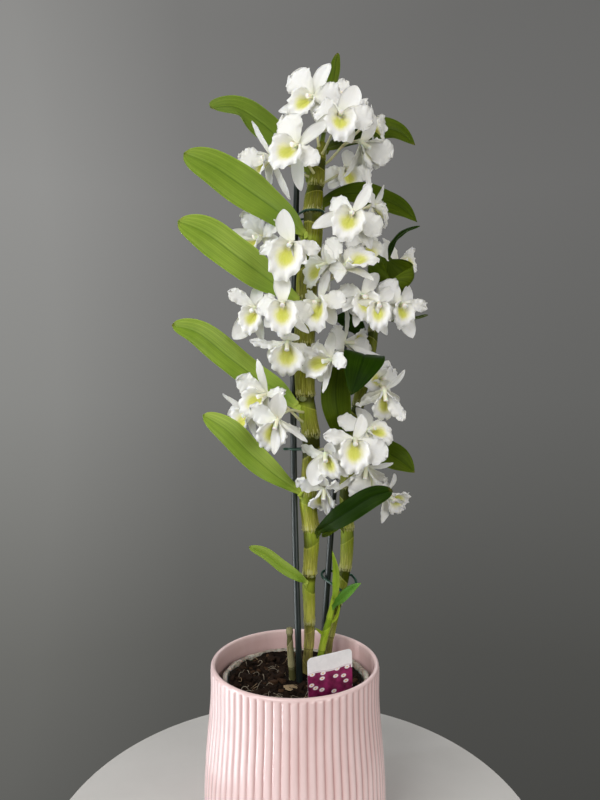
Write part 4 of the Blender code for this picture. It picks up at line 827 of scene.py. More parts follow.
def growing_medium():
    rnd = random.Random(7)
    z0 = POT_FLOOR + GAP + LINER_WALL + GAP
    rings, seg = 46, 150
    rim = liner_inner(MEDIUM_TOP + 0.004) - 0.0010
    verts, tone = [(0, 0, MEDIUM_TOP)], [0.2]
    faces = []

    def height(x, y):
        h = noise.noise(Vector((x * 60, y * 60, 0.3))) * 0.0022 + noise.noise(Vector((x * 190, y * 190, 4.1))) * 0.0016 + noise.noise(Vector((x * 520, y * 520, 9.0))) * 0.0008
        d = math.hypot(x, y)
        return MEDIUM_TOP + 0.0006 + h + 0.0048 * (d / rim) ** 7 + 0.0014 * math.exp(-((x - 0.01) ** 2 + (y - 0.017) ** 2) / 0.0003)

    verts[0] = (0, 0, height(0, 0))
    for i in range(1, rings + 1):
        r = rim * i / rings
        for j in range(seg):
            a = 2 * math.pi * j / seg
            x, y = r * math.cos(a), r * math.sin(a)
            verts.append((x, y, height(x, y)))
            tone.append(max(0, noise.noise(Vector((x * 240, y * 240, 2)))))
    for k, (rr, z) in enumerate([(liner_inner(MEDIUM_TOP - 0.002) - 0.0010, MEDIUM_TOP - 0.002), (liner_inner(0.06) - 0.0010, 0.06), (liner_inner(z0 + 0.004) - 0.0010, z0 + 0.004), (LINER_FOOT_R - 0.0046, z0)]):
        for j in range(seg):
            a = 2 * math.pi * j / seg
            verts.append((rr * math.cos(a), rr * math.sin(a), z))
            tone.append(0.1)
    total = rings + 4
    for j in range(seg):
        faces.append((0, 1 + j, 1 + (j + 1) % seg))
    for i in range(total - 1):
        for j in range(seg):
            k = (j + 1) % seg
            a, b = 1 + i * seg, 1 + (i + 1) * seg
            faces.append((a + j, b + j, b + k, a + k))
    verts.append((0, 0, z0))
    tone.append(0.1)
    last = 1 + (total - 1) * seg
    for j in range(seg):
        faces.append((len(verts) - 1, last + (j + 1) % seg, last + j))
    bag = Bag(["tone"])
    bag.put(verts, faces, 0, tone=np.array(tone))
    bag.make("growing_mix", [MAT["soil"]], node="growing_medium", slot="bark_mix")

    # bark chips, coir bits and fibres lying on it
    chips = Bag(["tone"])
    base = bmesh.new()
    bmesh.ops.create_icosphere(base, subdivisions=2, radius=1.0)
    bv = np.array([v.co[:] for v in base.verts])
    bf = [[v.index for v in f.verts] for f in base.faces]
    base.free()

    def chip(x, y, size, kind, squash, seed, lift=0.0):
        rr = random.Random(seed)
        rot = Vector((rr.uniform(-0.5, 0.5), rr.uniform(-0.5, 0.5), rr.uniform(0, 6.28)))
        m = (Matrix.Rotation(rot.z, 3, "Z") @ Matrix.Rotation(rot.x, 3, "X") @ Matrix.Rotation(rot.y, 3, "Y"))
        dims = np.array([size, size * rr.uniform(0.35, 0.8), size * squash])
        off = np.array([rr.uniform(0, 50) for _ in range(3)])
        v = bv.copy()
        # blocky: pushed towards a box, then roughened
        v = np.sign(v) * np.abs(v) ** 0.62
        for q in range(len(v)):
            v[q] *= 1 + 0.30 * noise.noise(Vector(v[q] * 1.4 + off))
        v = v * dims
        M = np.array(m)
        v = v @ M.T
        v += np.array([x, y, height(x, y) + size * squash * 0.35 + lift])
        chips.put(v, bf, kind, tone=rr.uniform(0, 1))

    seeds = 0
    holders = [(0.0100, 0.017, 0.0062), (0.0290, 0.037, 0.0048), (0.0208, 0.0245, 0.0046), (-0.0028, 0.008, 0.0048), (0.0030, 0.0030, 0.0045), (0.0236, 0.042, 0.0044)]

    def free(x, y, size):
        if math.hypot(x, y) > rim - size * 1.1:
            return False
        if any(math.hypot(x - a, y - b) < c + size for a, b, c in holders):
            return False
        if 0.004 < x < 0.052 and abs((y + 0.033) - (x - 0.028) * 0.37) < 0.0035 + size:
            return False
        return True

    for _ in range(900):
        size = rnd.uniform(0.0009, 0.0030) if rnd.random() < 0.8 else rnd.uniform(0.003, 0.0046)
        a, r = rnd.uniform(0, 6.283), rim * math.sqrt(rnd.random())
        x, y = r * math.cos(a), r * math.sin(a)
        seeds += 1
        if free(x, y, size):
            chip(x, y, size, 0 if rnd.random() < 0.86 else 1, rnd.uniform(0.25, 0.55), seeds)
    # one large pale piece of bark in front of the stub
    chip(-0.0010, -0.0075, 0.0088, 2, 0.14, 901, 0.0010)

    # fibres: thin curved threads, some pale and looped
    for k in range(84):
        a, r = rnd.uniform(0, 6.283), rim * math.sqrt(rnd.random()) * 0.93
        if k < 40:
            a, r = rnd.uniform(3.3, 5.0), rim * rnd.uniform(0.55, 0.93)
        x, y = r * math.cos(a), r * math.sin(a)
        if not free(x, y, 0.003):
            continue
        h = rnd.uniform(0, 6.283)
        bend = rnd.uniform(-1.6, 1.6)
        length = rnd.uniform(0.005, 0.015)
        pts = []
        px, py = x, y
        lift = rnd.uniform(0.0004, 0.0030)
        for i in range(11):
            t = i / 10
            pts.append((px, py, height(px, py) + 0.0016 + lift * math.sin(math.pi * t)))
            px += math.cos(h) * length / 10
            py += math.sin(h) * length / 10
            h += bend * 0.22
            if math.hypot(px, py) > rim - 0.0015 or not free(px, py, 0.0):
                break
        if len(pts) < 4:
            continue
        rad = rnd.uniform(0.00010, 0.00026)
        v, f, uv, t = tube(pts, [rad * (1 - 0.5 * abs(2 * i / (len(pts) - 1) - 1)) for i in range(len(pts))], 6)
        chips.put(v, f, 3 if k % 3 else 2, uv, tone=rnd.uniform(0, 1))
    chips.make("bark_and_fibres", [MAT["chip_dark"], MAT["chip_brown"], MAT["chip_pale"], MAT["fibre"]], node="", slot="bark_mix", smooth_angle=35)


# ------------------------------------------------------------------ canes
def node_list(vs, table):
    return sorted(vs, reverse=True)


def cane_rows(table, nodes, per, foot):
    """Stations along a cane, each with centre, radius, age and how far it is into its internode (0 just above a node, 1 at the next)."""
    ctrl = [at(u, v, y) for u, v, y, d in table]
    vs = [row[1] for row in table]
    rad = [row[3] / 2000 for row in table]
    pts = spline_points(ctrl, per * (len(table) - 1))
    ns = sorted(nodes, reverse=True)
    v0, v1 = vs[0], vs[-1]
    bounds = [v0 + 20] + ns + [v1 - 20]
    rows = []
    for k, p in enumerate(pts):
        x = k / per
        i = min(int(x), len(table) - 2)
        t = x - i
        v = vs[i] + (vs[i + 1] - vs[i]) * t
        r = rad[i] + (rad[i + 1] - rad[i]) * t * t * (3 - 2 * t)
        n = next(q for q, (a, b) in enumerate(zip(bounds, bounds[1:])) if b <= v <= a or q == len(bounds) - 2)
        a, b = bounds[n], bounds[n + 1]
        into = (a - v) / (a - b)
        # the sheath's hem stands out just above a node, over the smooth band of the joint below it
        hem = math.exp(-(max(0.0, a - v) / 3.2) ** 2) * 0.055 * (1 if v < a else 0)
        band = 1 / (1 + math.exp(-((b + 7.0) - v) / 0.9)) if b in ns else 0.0
        ring = math.exp(-((v - b - 1.0) / 0.8) ** 2) if b in ns else 0.0
        scale = 1.0 + hem - 0.050 * band + 0.030 * ring + 0.035 * math.sin(math.pi * min(1, into * 1.1)) - 0.02
        rows.append((p, r * scale, (v0 - v) / (v0 - v1), into, n, v))
    top = next(i for i, r in enumerate(rows) if r[0].z > MEDIUM_TOP - 0.0004)
    low = []
    for dz in (0.012, 0.006, 0.002):
        q = rows[top][0].copy()
        q.z = MEDIUM_TOP - dz
        low.append((q, rows[top][1] * 0.97, 0.0, 0.4, rows[top][4], rows[top][5]))
    return low + rows[top:]


def cane(name, table, nodes, mat, node, slot, per=12, sides=56, ribs=9, depth=0.045, seed=1, extra=None, leaf_feet=False):
    rows = cane_rows(table, nodes, per, 0.012)
    rnd = random.Random(seed)
    ph = [rnd.uniform(0, 6.28) for _ in range(40)]

    def wobble(i, a):
        p, r, age, into, n, v = rows[i]
        z = p.z
        flute = 0.5 + 0.5 * math.cos(a * ribs + 0.8 * math.sin(z * 40 + ph[0]) + ph[1] + n)
        fine = math.cos(a * (ribs * 2 + 5) + ph[3] + n * 2)
        env = math.sin(math.pi * min(1, max(0, into / 0.86))) ** 0.7 if into < 0.86 else 0.0
        k = depth * (0.45 + 0.55 * age) * env
        return 1 + k * (flute ** 1.5 - 0.55) + 0.006 * fine * env + 0.012 * math.sin(2 * a + ph[2] + z * 25)

    pts = [r[0] for r in rows]
    rad = [r[1] for r in rows]
    v, f, uv, t = tube(pts, rad, sides, wobble=wobble)
    n = len(rows)
    per_vertex = [(i, j) for i in range(n) for j in range(sides)] + [(0, 0), (n - 1, 0)]
    age = np.array([rows[i][2] for i, j in per_vertex])
    into = np.array([rows[i][3] for i, j in per_vertex])
    # the sheath's mouth is oblique: higher towards its leaf, whose side changes from joint to joint
    side = np.array([math.cos(2 * math.pi * j / sides - (math.pi / 2 if rows[i][4] % 2 else -math.pi / 2) - 0.5 * math.sin(ph[5 + rows[i][4] % 20])) for i, j in per_vertex])
    zlen = np.array([p.z for p in pts])
    uv = np.array([(j / sides, zlen[i] * 18 + rows[i][4] * 0.37) for i, j in per_vertex])
    # how near each point is to a leaf's foot: full just under it, fading down the sheath
    flush = np.zeros(len(v))
    for leaf, (which, vv) in LEAF_CANE.items():
        if (which == "F") != (table is FRONT_CANE) or not leaf_feet or leaf in ("leaf_08_upper_right", "leaf_18_behind"):
            continue
        row = next(r for r in LEAVES if r[0] == leaf)
        q, rq = cane_at(table, vv)
        b = at(*row[1][0])
        a0 = math.atan2(b.y - q.y, b.x - q.x)
        for w, (i, j) in enumerate(per_vertex):
            below = rows[i][5] - vv
            if -7 < below < 34:
                c = rows[i][0]
                around = math.cos(math.atan2(v[w][1] - c.y, v[w][0] - c.x) - a0)
                k = math.exp(-max(0.0, below / 15.0) ** 1.6) * math.exp(-max(0.0, -below / 3.0) ** 2) * max(0.0, 0.5 + 0.5 * around) ** 1.3
                flush[w] = max(flush[w], k)
    bag = Bag(["along", "into", "side", "flush"])
    bag.put(v, f, 0, uv, along=age, into=into, side=side, flush=flush)
    mats = [mat]
    if extra:
        mats += extra(bag, rows)
    bag.make(name, mats, node=node, slot=slot)
    return rows


def scraps(bag, rows, nodes_v, seed, index, table, count=40):
    """The sheath's hem above each joint: dry strands side by side, each ending in its own point over the smooth band below."""
    rnd = random.Random(seed)
    for nv in nodes_v:
        k0 = min(range(len(rows)), key=lambda k: abs(rows[k][5] - nv))
        z_hem = rows[k0][0].z
        for c in range(count):
            if rnd.random() < 0.22:
                continue
            a0 = 2 * math.pi * (c + rnd.uniform(-0.3, 0.3)) / count
            up, down = rnd.uniform(0.0015, 0.0052), rnd.uniform(0.0002, 0.0024)
            wide = rnd.uniform(0.30, 0.62) * 2 * math.pi / count
            lean = rnd.uniform(-0.05, 0.05)
            n, m = 5, 2
            P = np.zeros((n + 1, m + 1, 3))
            for i in range(n + 1):
                t = i / n
                z = z_hem + up - (up + down) * t
                kk = min(range(max(0, k0 - 12), min(len(rows), k0 + 13)), key=lambda k: abs(rows[k][0].z - z))
                q, rq = rows[kk][0], rows[kk][1]
                rr = max(rq, rows[k0][1] * (1.0 if t > 0.5 else 0.0)) + 0.00012 + 0.00022 * t * t
                w = wide * (0.55 + 0.45 * math.sin(math.pi * min(1, t * 1.2))) * (1 if t < 0.55 else max(0.10, (1 - t) / 0.45))
                for j in range(m + 1):
                    a = a0 + lean * t + (j / m - 0.5) * w
                    bulge = 0.00010 if j == 1 else 0
                    P[i, j] = (q.x + (rr + bulge) * math.cos(a), q.y + (rr + bulge) * math.sin(a), z)
            v, f, k = skin(P, np.full((n + 1, m + 1), 0.00022))
            if (unit(np.cross(P[1, 0] - P[0, 0], P[0, 1] - P[0, 0])) @ np.array([math.cos(a0), math.sin(a0), 0])) > 0:
                f = [x[::-1] for x in f]
            bag.put(v, f, index, np.stack([np.tile(np.linspace(0, 1, m + 1), n + 1)[k] + c * 0.37, np.repeat(np.linspace(0, 1, n + 1), m + 1)[k]], -1), along=rnd.random(), into=0.2)


def cane_at(table, v):
    for (u0, v0, y0, d0), (u1, v1, y1, d1) in zip(table, table[1:]):
        if v1 <= v <= v0:
            t = (v0 - v) / (v0 - v1)
            return at(u0 + (u1 - u0) * t, v, y0 + (y1 - y0) * t), (d0 + (d1 - d0) * t) / 2000
    raise ValueError(v)


def cane_at_z(table, z):
    pts = [(at(u, v, y), d / 2000) for u, v, y, d in table]
    for (a, ra), (b, rb) in zip(pts, pts[1:]):
        if a.z <= z <= b.z:
            t = (z - a.z) / (b.z - a.z)
            return a.lerp(b, t), ra + (rb - ra) * t
    return (pts[-1] if z > pts[-1][0].z else pts[0])


def paper_material():
    m, nt, p = new_material("dry_sheath")
    n = noise_tex(nt, coords(nt, (14, 2, 1), uv=True), 1.5, 3)
    col = mix(nt, n, (0.42, 0.41, 0.15), (0.66, 0.64, 0.34))
    col = mix(nt, math_node(nt, "MULTIPLY", attr(nt, "along"), 0.5), col, (0.36, 0.38, 0.10))
    nt.links.new(col, p.inputs["Base Color"])
    p.inputs["Roughness"].default_value = 0.6
    p.inputs["Specular IOR Level"].default_value = 0.3
    bump(nt, p, n, 0.4, 0.0003)
    return m


def scar(bag, table, v, angle, size, index):
    """An oval bud scar on a cane."""
    p, r = cane_at(table, v)
    n = 16
    verts = []
    for k, (rr, h) in enumerate(((1.0, 0.0), (0.8, 0.00055), (0.45, 0.0003), (0.0, 0.0006))):
        for j in range(n):
            b = 2 * math.pi * j / n
            a = angle + rr * size * math.cos(b) / r
            z = p.z + rr * size * 0.62 * math.sin(b)
            q, rq = cane_at_z(table, z)
            R = rq * 1.03 + h
            verts.append((q.x + R * math.cos(a), q.y + R * math.sin(a), z))
    faces = []
    for i in range(3):
        for j in range(n):
            k = (j + 1) % n
            faces.append((i * n + j, i * n + k, (i + 1) * n + k, (i + 1) * n + j))
    c = len(verts)
    q = Vector((p.x + (r * 0.7) * math.cos(angle), p.y + (r * 0.7) * math.sin(angle), p.z))
    verts.append(tuple(q))
    for j in range(n):
        faces.append((c, (j + 1) % n, j))
    bag.put(verts, faces, index, along=0.6, into=0.3)


def canes():
    def front_extra(bag, rows):
        scraps(bag, rows, [622, 573, 529, 494, 434, 395, 345, 300, 256, 213, 186], 11, 1, FRONT_CANE)
        for v, a, s in ((399, -1.95, 0.0036), (575, -1.2, 0.0018), (437, -0.9, 0.0024), (300, -2.3, 0.0026), (258, -1.0, 0.0026)):
            scar(bag, FRONT_CANE, v, a, s, 2)
        return [MAT["paper"], MAT["scar"]]

    def rear_extra(bag, rows):
        scraps(bag, rows, [602, 568, 528, 486, 446, 404, 362, 330], 23, 1, REAR_CANE)
        for v, a, s in ((404, -1.7, 0.002), (486, -0.9, 0.002), (362, -1.0, 0.002)):
            scar(bag, REAR_CANE, v, a, s, 2)
        return [MAT["paper"], MAT["scar"]]

    cane("jointed_front_cane", FRONT_CANE, [{578: 573, 532: 529}.get(n, n) for n in FRONT_NODES], MAT["cane"], "front_cane", "cane", extra=front_extra, seed=3, leaf_feet=True)
    cane("jointed_rear_cane", REAR_CANE, REAR_NODES, MAT["cane_rear"], "rear_cane", "cane", sides=48, ribs=7, depth=0.035, extra=rear_extra, seed=5, leaf_feet=True)
    cane("lime_young_shoot", YOUNG_SHOOT, [650, 618], MAT["shoot"], "young_shoot", "young_green", sides=40, ribs=5, depth=0.02, seed=8, extra=shoot_extra)
    cane("dry_old_stub", OLD_STUB, [666, 633], MAT["stub"], "old_cane_stub", "dry_cane", sides=48, ribs=11, depth=0.10, seed=9)


def shoot_extra(bag, rows):
    """The green bract that stands off to the left at the shoot's foot, and another on its right."""
    for pts, wide, face in (
        ([(323.5, 634, 0.022), (320, 632, 0.018), (315.2, 628, 0.014)], 0.0034, (0, -1, 0.6)),
        ([(330.5, 622, 0.0235), (335.5, 618, 0.022), (338.5, 609, 0.020), (339.5, 602, 0.019)], 0.0036, (0.4, -1, 0.1)),
    ):
        P, T, t, s = blade(pts, 12, 6, lambda x: wide / 2 * max(0.15, math.sin(math.pi * min(0.98, 0.25 + 0.75 * x)) ** 0.8), face, 28, thick=0.0006)
        v, f, k = skin(P, T)
        bag.put(v, f, 0, np.stack([s.ravel()[k] * 0.5 + 0.5, t.ravel()[k]], -1), along=0.5, into=0.5)
    return []


# ------------------------------------------------------------------ leaves
def blade(points, nu, nv, half, face, fold, thick=LEAF_T, wave=0.0, curl=0.0, seed=0, cup=0.0):
    """A leaf's middle surface (nu+1, nv+1, 3), its thickness, and the two coordinates along and across. With a cup (radians) its halves are arcs."""
    c = spline_points([at(*p) if len(p) == 3 and abs(p[0]) > 1 else Vector(p) for p in points], nu)
    f = Vector(face).normalized()
    P = np.zeros((nu + 1, nv + 1, 3))
    T = np.zeros((nu + 1, nv + 1))
    A = np.zeros((nu + 1, nv + 1))
    S = np.zeros((nu + 1, nv + 1))
    rnd = random.Random(seed)
    p1, p2, p3 = (rnd.uniform(0, 6.28) for _ in range(3))
    a = math.radians(fold)
    for i, p in enumerate(c):
        x = i / nu
        d = (c[min(i + 1, nu)] - c[max(i - 1, 0)]).normalized()
        up = (f - d * f.dot(d)).normalized()
        across = d.cross(up)
        w = half(x)
        for j in range(nv + 1):
            s = (j / nv - 0.5) * 2
            s = math.copysign(abs(s) ** 0.92, s)
            if cup:
                r = w / cup
                side, rise = r * math.sin(s * cup), r * (1 - math.cos(s * cup))
            else:
                # the halves rise from the midrib and flatten towards the edge
                side, rise = s * w * math.cos(a), (abs(s) ** 1.35) * math.sin(a) * w
            groove = -0.00055 * math.exp(-(s * w / 0.0011) ** 2) if w > 0.003 else 0.0
            ruf = wave * math.sin(7.5 * x * math.pi + (p1 if s > 0 else p2)) * abs(s) ** 2 * math.sin(math.pi * x)
            ruf += 0.4 * wave * math.sin(3.1 * x * math.pi + p3) * s
            P[i, j] = p + across * side + up * (rise + groove + ruf - curl * s * s * w)
            T[i, j] = thick * (1 - 0.78 * abs(s) ** 6) * (1.0 if 0 < x < 0.97 else 0.6)
            A[i, j], S[i, j] = x, s
    return P, T, A, S


CLIP_TILT = 0.52
ACUTE = {"leaf_08_upper_right", "leaf_09_right", "leaf_10_thin_right", "leaf_13_dark_folded", "leaf_15_right", "leaf_18_behind", "leaf_11_folded_right"}
# Leaves whose form is drawn out further than in the driving table: points, width, face, fold, cup.
LEAF_FORM = {
    "leaf_11_folded_right": ([(389.0, 262, 0.026), (388.5, 272, 0.012), (390, 287, -0.004), (391, 289, -0.018), (390, 278, -0.027)], 38, (0.0, 0.35, 1), 0, 1.25),
    "leaf_13_dark_folded": ([(366.0, 362, 0.0255), (365, 355, 0.012), (364, 357, -0.004), (359, 372, -0.014), (351, 395, -0.019)], 35, (0.1, -0.62, 0.8), 8, 0.0),
    "leaf_15_right": ([(360.8, 450, 0.036), (374, 447, 0.036), (392, 455, 0.030), (404, 463, 0.026), (414.5, 472.5, 0.022)], 24, (0, -1, 0.3), 8, 0.0),
    "leaf_16_low_right": ([(318.5, 531, 0.0072), (330, 523.5, -0.008), (350, 510.5, -0.018), (371, 497.5, -0.022), (392.5, 490.5, -0.024)], 18.5, (0.1, -1, 0.3), 12, 0.0),
    "leaf_09_right": ([(321.0, 206, 0.018), (337, 196, 0.030), (362, 193.5, 0.034), (386, 201, 0.034), (404, 210, 0.032), (417, 222, 0.030)], 24, (0, -1, 0.35), 8, 0.0),
    "leaf_10_thin_right": ([(389.5, 257, 0.034), (392, 246, 0.036), (398, 237, 0.036), (408, 230, 0.034), (420, 226, 0.030)], 11, (-0.6, -0.45, 0.6), 10, 0.0),
}


def leaf_width(t, acute=False):
    """Half-width along a leaf, as a share of its greatest."""
    a = min(1.0, 0.26 + 0.74 * math.sin(math.pi / 2 * min(1, t / 0.52)) ** 1.2)
    if acute:
        b = 1.0 if t < 0.50 else max(0.0, 1 - ((t - 0.50) / 0.5005) ** 1.75) ** 0.86
    else:
        b = 1.0 if t < 0.56 else math.sqrt(max(0.0, 1 - ((t - 0.56) / 0.4405) ** 2.4))
    return max(a * b, 0.015)


LEAF_CANE = {
    "leaf_01_top": ("F", 146), "leaf_02_upper_left": ("F", 180), "leaf_03_left": ("F", 240), "leaf_04_left": ("F", 304), "leaf_05_left": ("F", 406),
    "leaf_06_left": ("F", 494), "leaf_07_low_left": ("F", 582), "leaf_08_upper_right": ("F", 152), "leaf_09_right": ("F", 212), "leaf_10_thin_right": ("R", 266),
    "leaf_11_folded_right": ("R", 268), "leaf_12_behind_right": ("R", 320), "leaf_13_dark_folded": ("R", 366), "leaf_14_centre": ("R", 452), "leaf_15_right": ("R", 456),
    "leaf_16_low_right": ("F", 532), "leaf_17_rear_small": ("R", 530), "leaf_18_behind": ("R", 340),
}
# which leaf green each leaf takes: the bright green is partly painted light, the mid and dark greens partly painted
# shade
LEAF_LOOK = {
    "leaf_01_top": "leaf_green_painted_half_shade", "leaf_02_upper_left": "leaf_green_painted_lit", "leaf_03_left": "leaf_green_painted_lit", "leaf_04_left": "leaf_green_painted_lit", "leaf_05_left": "leaf_green_painted_lit",
    "leaf_06_left": "leaf_green_painted_lit", "leaf_07_low_left": "leaf_green_painted_lit", "leaf_08_upper_right": "leaf_green_painted_half_shade", "leaf_09_right": "leaf_green_painted_half_shade", "leaf_10_thin_right": "leaf_green_painted_shade",
    "leaf_11_folded_right": "leaf_green_painted_half_shade", "leaf_12_behind_right": "leaf_green_painted_half_shade", "leaf_13_dark_folded": "leaf_green_painted_shade", "leaf_14_centre": "leaf_green_painted_half_shade", "leaf_15_right": "leaf_green_painted_half_shade",
    "leaf_16_low_right": "leaf_green_painted_shade", "leaf_17_rear_small": "leaf_green_painted_half_shade", "leaf_18_behind": "leaf_green_painted_shade",
}


LEAF_TONE = {"leaf_02_upper_left": 0.15, "leaf_03_left": 0.50, "leaf_04_left": 0.85, "leaf_05_left": 0.90, "leaf_06_left": 1.25, "leaf_16_low_right": 0.2, "leaf_07_low_left": 0.75, "leaf_08_upper_right": 0.2, "leaf_09_right": 0.3, "leaf_14_centre": 0.55, "leaf_15_right": 0.45}


def leaves():
    for k, (name, points, width, face, fold) in enumerate(LEAVES):
        if name == "leaf_11_folded_right":
            folded_leaf("blade_" + name[5:], MAT[LEAF_LOOK[name]], name)
            continue
        which, v = LEAF_CANE[name]
        points, width, face, fold, cup = LEAF_FORM.get(name, (points, width, face, fold, 0.0))
        table = FRONT_CANE if which == "F" else REAR_CANE
        base = at(*points[0])
        axis, r = cane_at(table, v)
        out = Vector((base.x - axis.x, base.y - axis.y, 0)).normalized()
        # the leaf's foot runs into the cane's surface, a little lower down
        foot = axis + out * (r * 0.80)
        near = axis + out * (r + 0.0010)
        near.z = axis.z + (base.z - axis.z) * 0.45
        pts = [tuple(foot), tuple(near.lerp(base, 0.35))] + [tuple(at(*p)) for p in points]
        half = width / 2000
        spans = len(pts) - 1
        acute = name in ACUTE

        def half_at(x, half=half, spans=spans, acute=acute, r=r):
            # x is in control spans: the first two are the foot, which clasps the cane
            t = x * spans
            if t <= 2:
                k = (1 - t / 2) ** 1.4
                return half * 0.26 + (min(r * 0.85, 0.0062) - half * 0.26) * k * 0.8
            return half * leaf_width((t - 2) / (spans - 2), acute)

        nu, nv = 72, 20
        P, T, A, S = blade(pts, nu, nv, half_at, face, fold, wave=0.0011 if width > 18 else 0.0005, curl=0.0 if cup else 0.10, seed=k + 40, cup=cup)
        vv, ff, kk = skin(P, T)
        t = np.clip((A * spans - 2) / (spans - 2), 0, 1)
        bag = Bag(["along", "across", "tone"])
        uv = np.stack([A.ravel()[kk], S.ravel()[kk] * 0.5 + 0.5], -1)
        bag.put(vv, ff, 0, uv, along=t.ravel()[kk], across=S.ravel()[kk], tone=LEAF_TONE.get(name, 0.5))
        slot = "leaf_right" if any(w in name for w in ("right", "centre", "behind", "rear", "dark")) else "leaf_left"
        bag.make("blade_" + name[5:], [MAT[LEAF_LOOK[name]]], node=name, slot=slot)
    for name, points, width, fold in (("shoot_leaf_upright", SHOOT_LEAVES[0], 7.0, 18), ("shoot_leaf_right", SHOOT_LEAVES[1], 9.0, 18)):
        face = (-0.5, -1, 0.2) if "upright" in name else (-0.2, -1, 0.6)
        axis, r = cane_at(YOUNG_SHOOT, 600 if "upright" in name else 608)
        pts = [tuple(axis + Vector((0, -0.6 * r, 0)))] + [tuple(at(*p)) for p in points]
        spans = len(pts) - 1

        def half_at(x, half=width / 2000, spans=spans):
            t = x * spans
            return half * (0.45 if t < 1 else max(0.05, math.sin(math.pi * min(0.995, 0.16 + 0.84 * (t - 1) / (spans - 1))) ** 0.75))

        P, T, A, S = blade(pts, 48, 14, half_at, face, fold, thick=0.0008, wave=0.0003, seed=70)
        vv, ff, kk = skin(P, T)
        bag = Bag(["along", "across", "tone"])
        bag.put(vv, ff, 0, np.stack([A.ravel()[kk], S.ravel()[kk] * 0.5 + 0.5], -1), along=A.ravel()[kk], across=S.ravel()[kk], tone=0.5)
        bag.make("blade_" + name, [MAT["leaf_lime" if "upright" in name else "leaf_young"]], node=name, slot="young_green")


# ------------------------------------------------------------------ flowers
def facing(yaw, pitch, roll):
    a, b, c = (math.radians(x) for x in (yaw, pitch, roll))
    n = Vector((math.sin(a) * math.cos(b), -math.cos(a) * math.cos(b), math.sin(b)))
    up0 = Vector((0, 0, 1))
    up0 = (up0 - n * up0.dot(n)).normalized()
    right0 = up0.cross(n)
    up = up0 * math.cos(c) + right0 * math.sin(c)
    right = right0 * math.cos(c) - up0 * math.sin(c)
    return n, up, right


def reach(c, n, u, v, length):
    """The point on the line of sight through (u, v) that is that far from c, on the side that keeps the tepal in its flower's plane."""
    lo, hi = c.y - 0.05, c.y + 0.05
    steps = 200
    prev = None
    found = []
    for i in range(steps + 1):
        y = lo + (hi - lo) * i / steps
        p = at(u, v, y)
        d = (p - c).length - length
        if prev is not None and prev[0] * d <= 0:
            found.append(p)
        prev = (d, p)
    if not found:
        found = [min((at(u, v, lo + (hi - lo) * i / steps) for i in range(steps + 1)), key=lambda q: (q - c).length)]
    return min(found, key=lambda p: abs((p - c).normalized().dot(n) + 0.05))


ANGLES = dict(D=0, PR=72, SR=138, SL=-138, PL=-72)
WIDTHS = dict(D=13.0, PR=19.0, SR=12.0, SL=12.0, PL=19.0)


def parts_of(f):
    name, u, v, y, yaw, pitch, roll, tips, lip, grows = f
    c = at(u, v, y)
    n, up, right = facing(yaw, pitch, roll)
    scale = FOCAL / (y - EYE.y)
    out = {}
    for k, a in ANGLES.items():
        if k in tips:
            tu, tv, w = tips[k]
            out[k] = (reach(c, n, tu, tv, TEPAL), max(w / scale, 0.006), True)
        else:
            r = math.radians(a)
            d = (up * math.cos(r) + right * math.sin(r) - n * 0.12).normalized()
            out[k] = (c + d * TEPAL * 0.90, WIDTHS[k] / 1000, False)
    lp = at(lip[0], lip[1], y)
    d = lp - c
    d = d - n * d.dot(n)
    d = d.normalized() if d.length > 0.002 else -up
    return c, n, up, right, out, d, grows


def stalk_of(f):
    c, n, up, right, out, ld, (which, v) = parts_of(f)
    back = c - n * 0.0045
    table = FRONT_CANE if which == "F" else REAR_CANE
    p, r = cane_at(table, v)
    if f[0] in FIRST_OF:
        root = stalk_of(BY_NAME[FIRST_OF[f[0]]])[1]
        d = (back - root).normalized()
        bend = root.lerp(back, 0.5) - n * 0.003
    else:
        d = back - p
        d = Vector((d.x, d.y, d.z * 0.3)).normalized()
        root = p + Vector((d.x, d.y, 0)).normalized() * (r + 0.0009) + Vector((0, 0, d.z * 0.002))
        bend = root.lerp(back, 0.45) + d * 0.003 - n * 0.004 + Vector((0, 0, 0.001))
    q, rq = cane_at_z(table, bend.z)
    away = Vector((bend.x - q.x, bend.y - q.y, 0))
    if away.length < rq + 0.0032:
        away = (away.normalized() + Vector((d.x, d.y, 0)).normalized()).normalized()
        bend = Vector((q.x, q.y, bend.z)) + away * (rq + 0.0032)
    return root, bend, back


def v3(a):
    return np.array([a[0], a[1], a[2]], float)


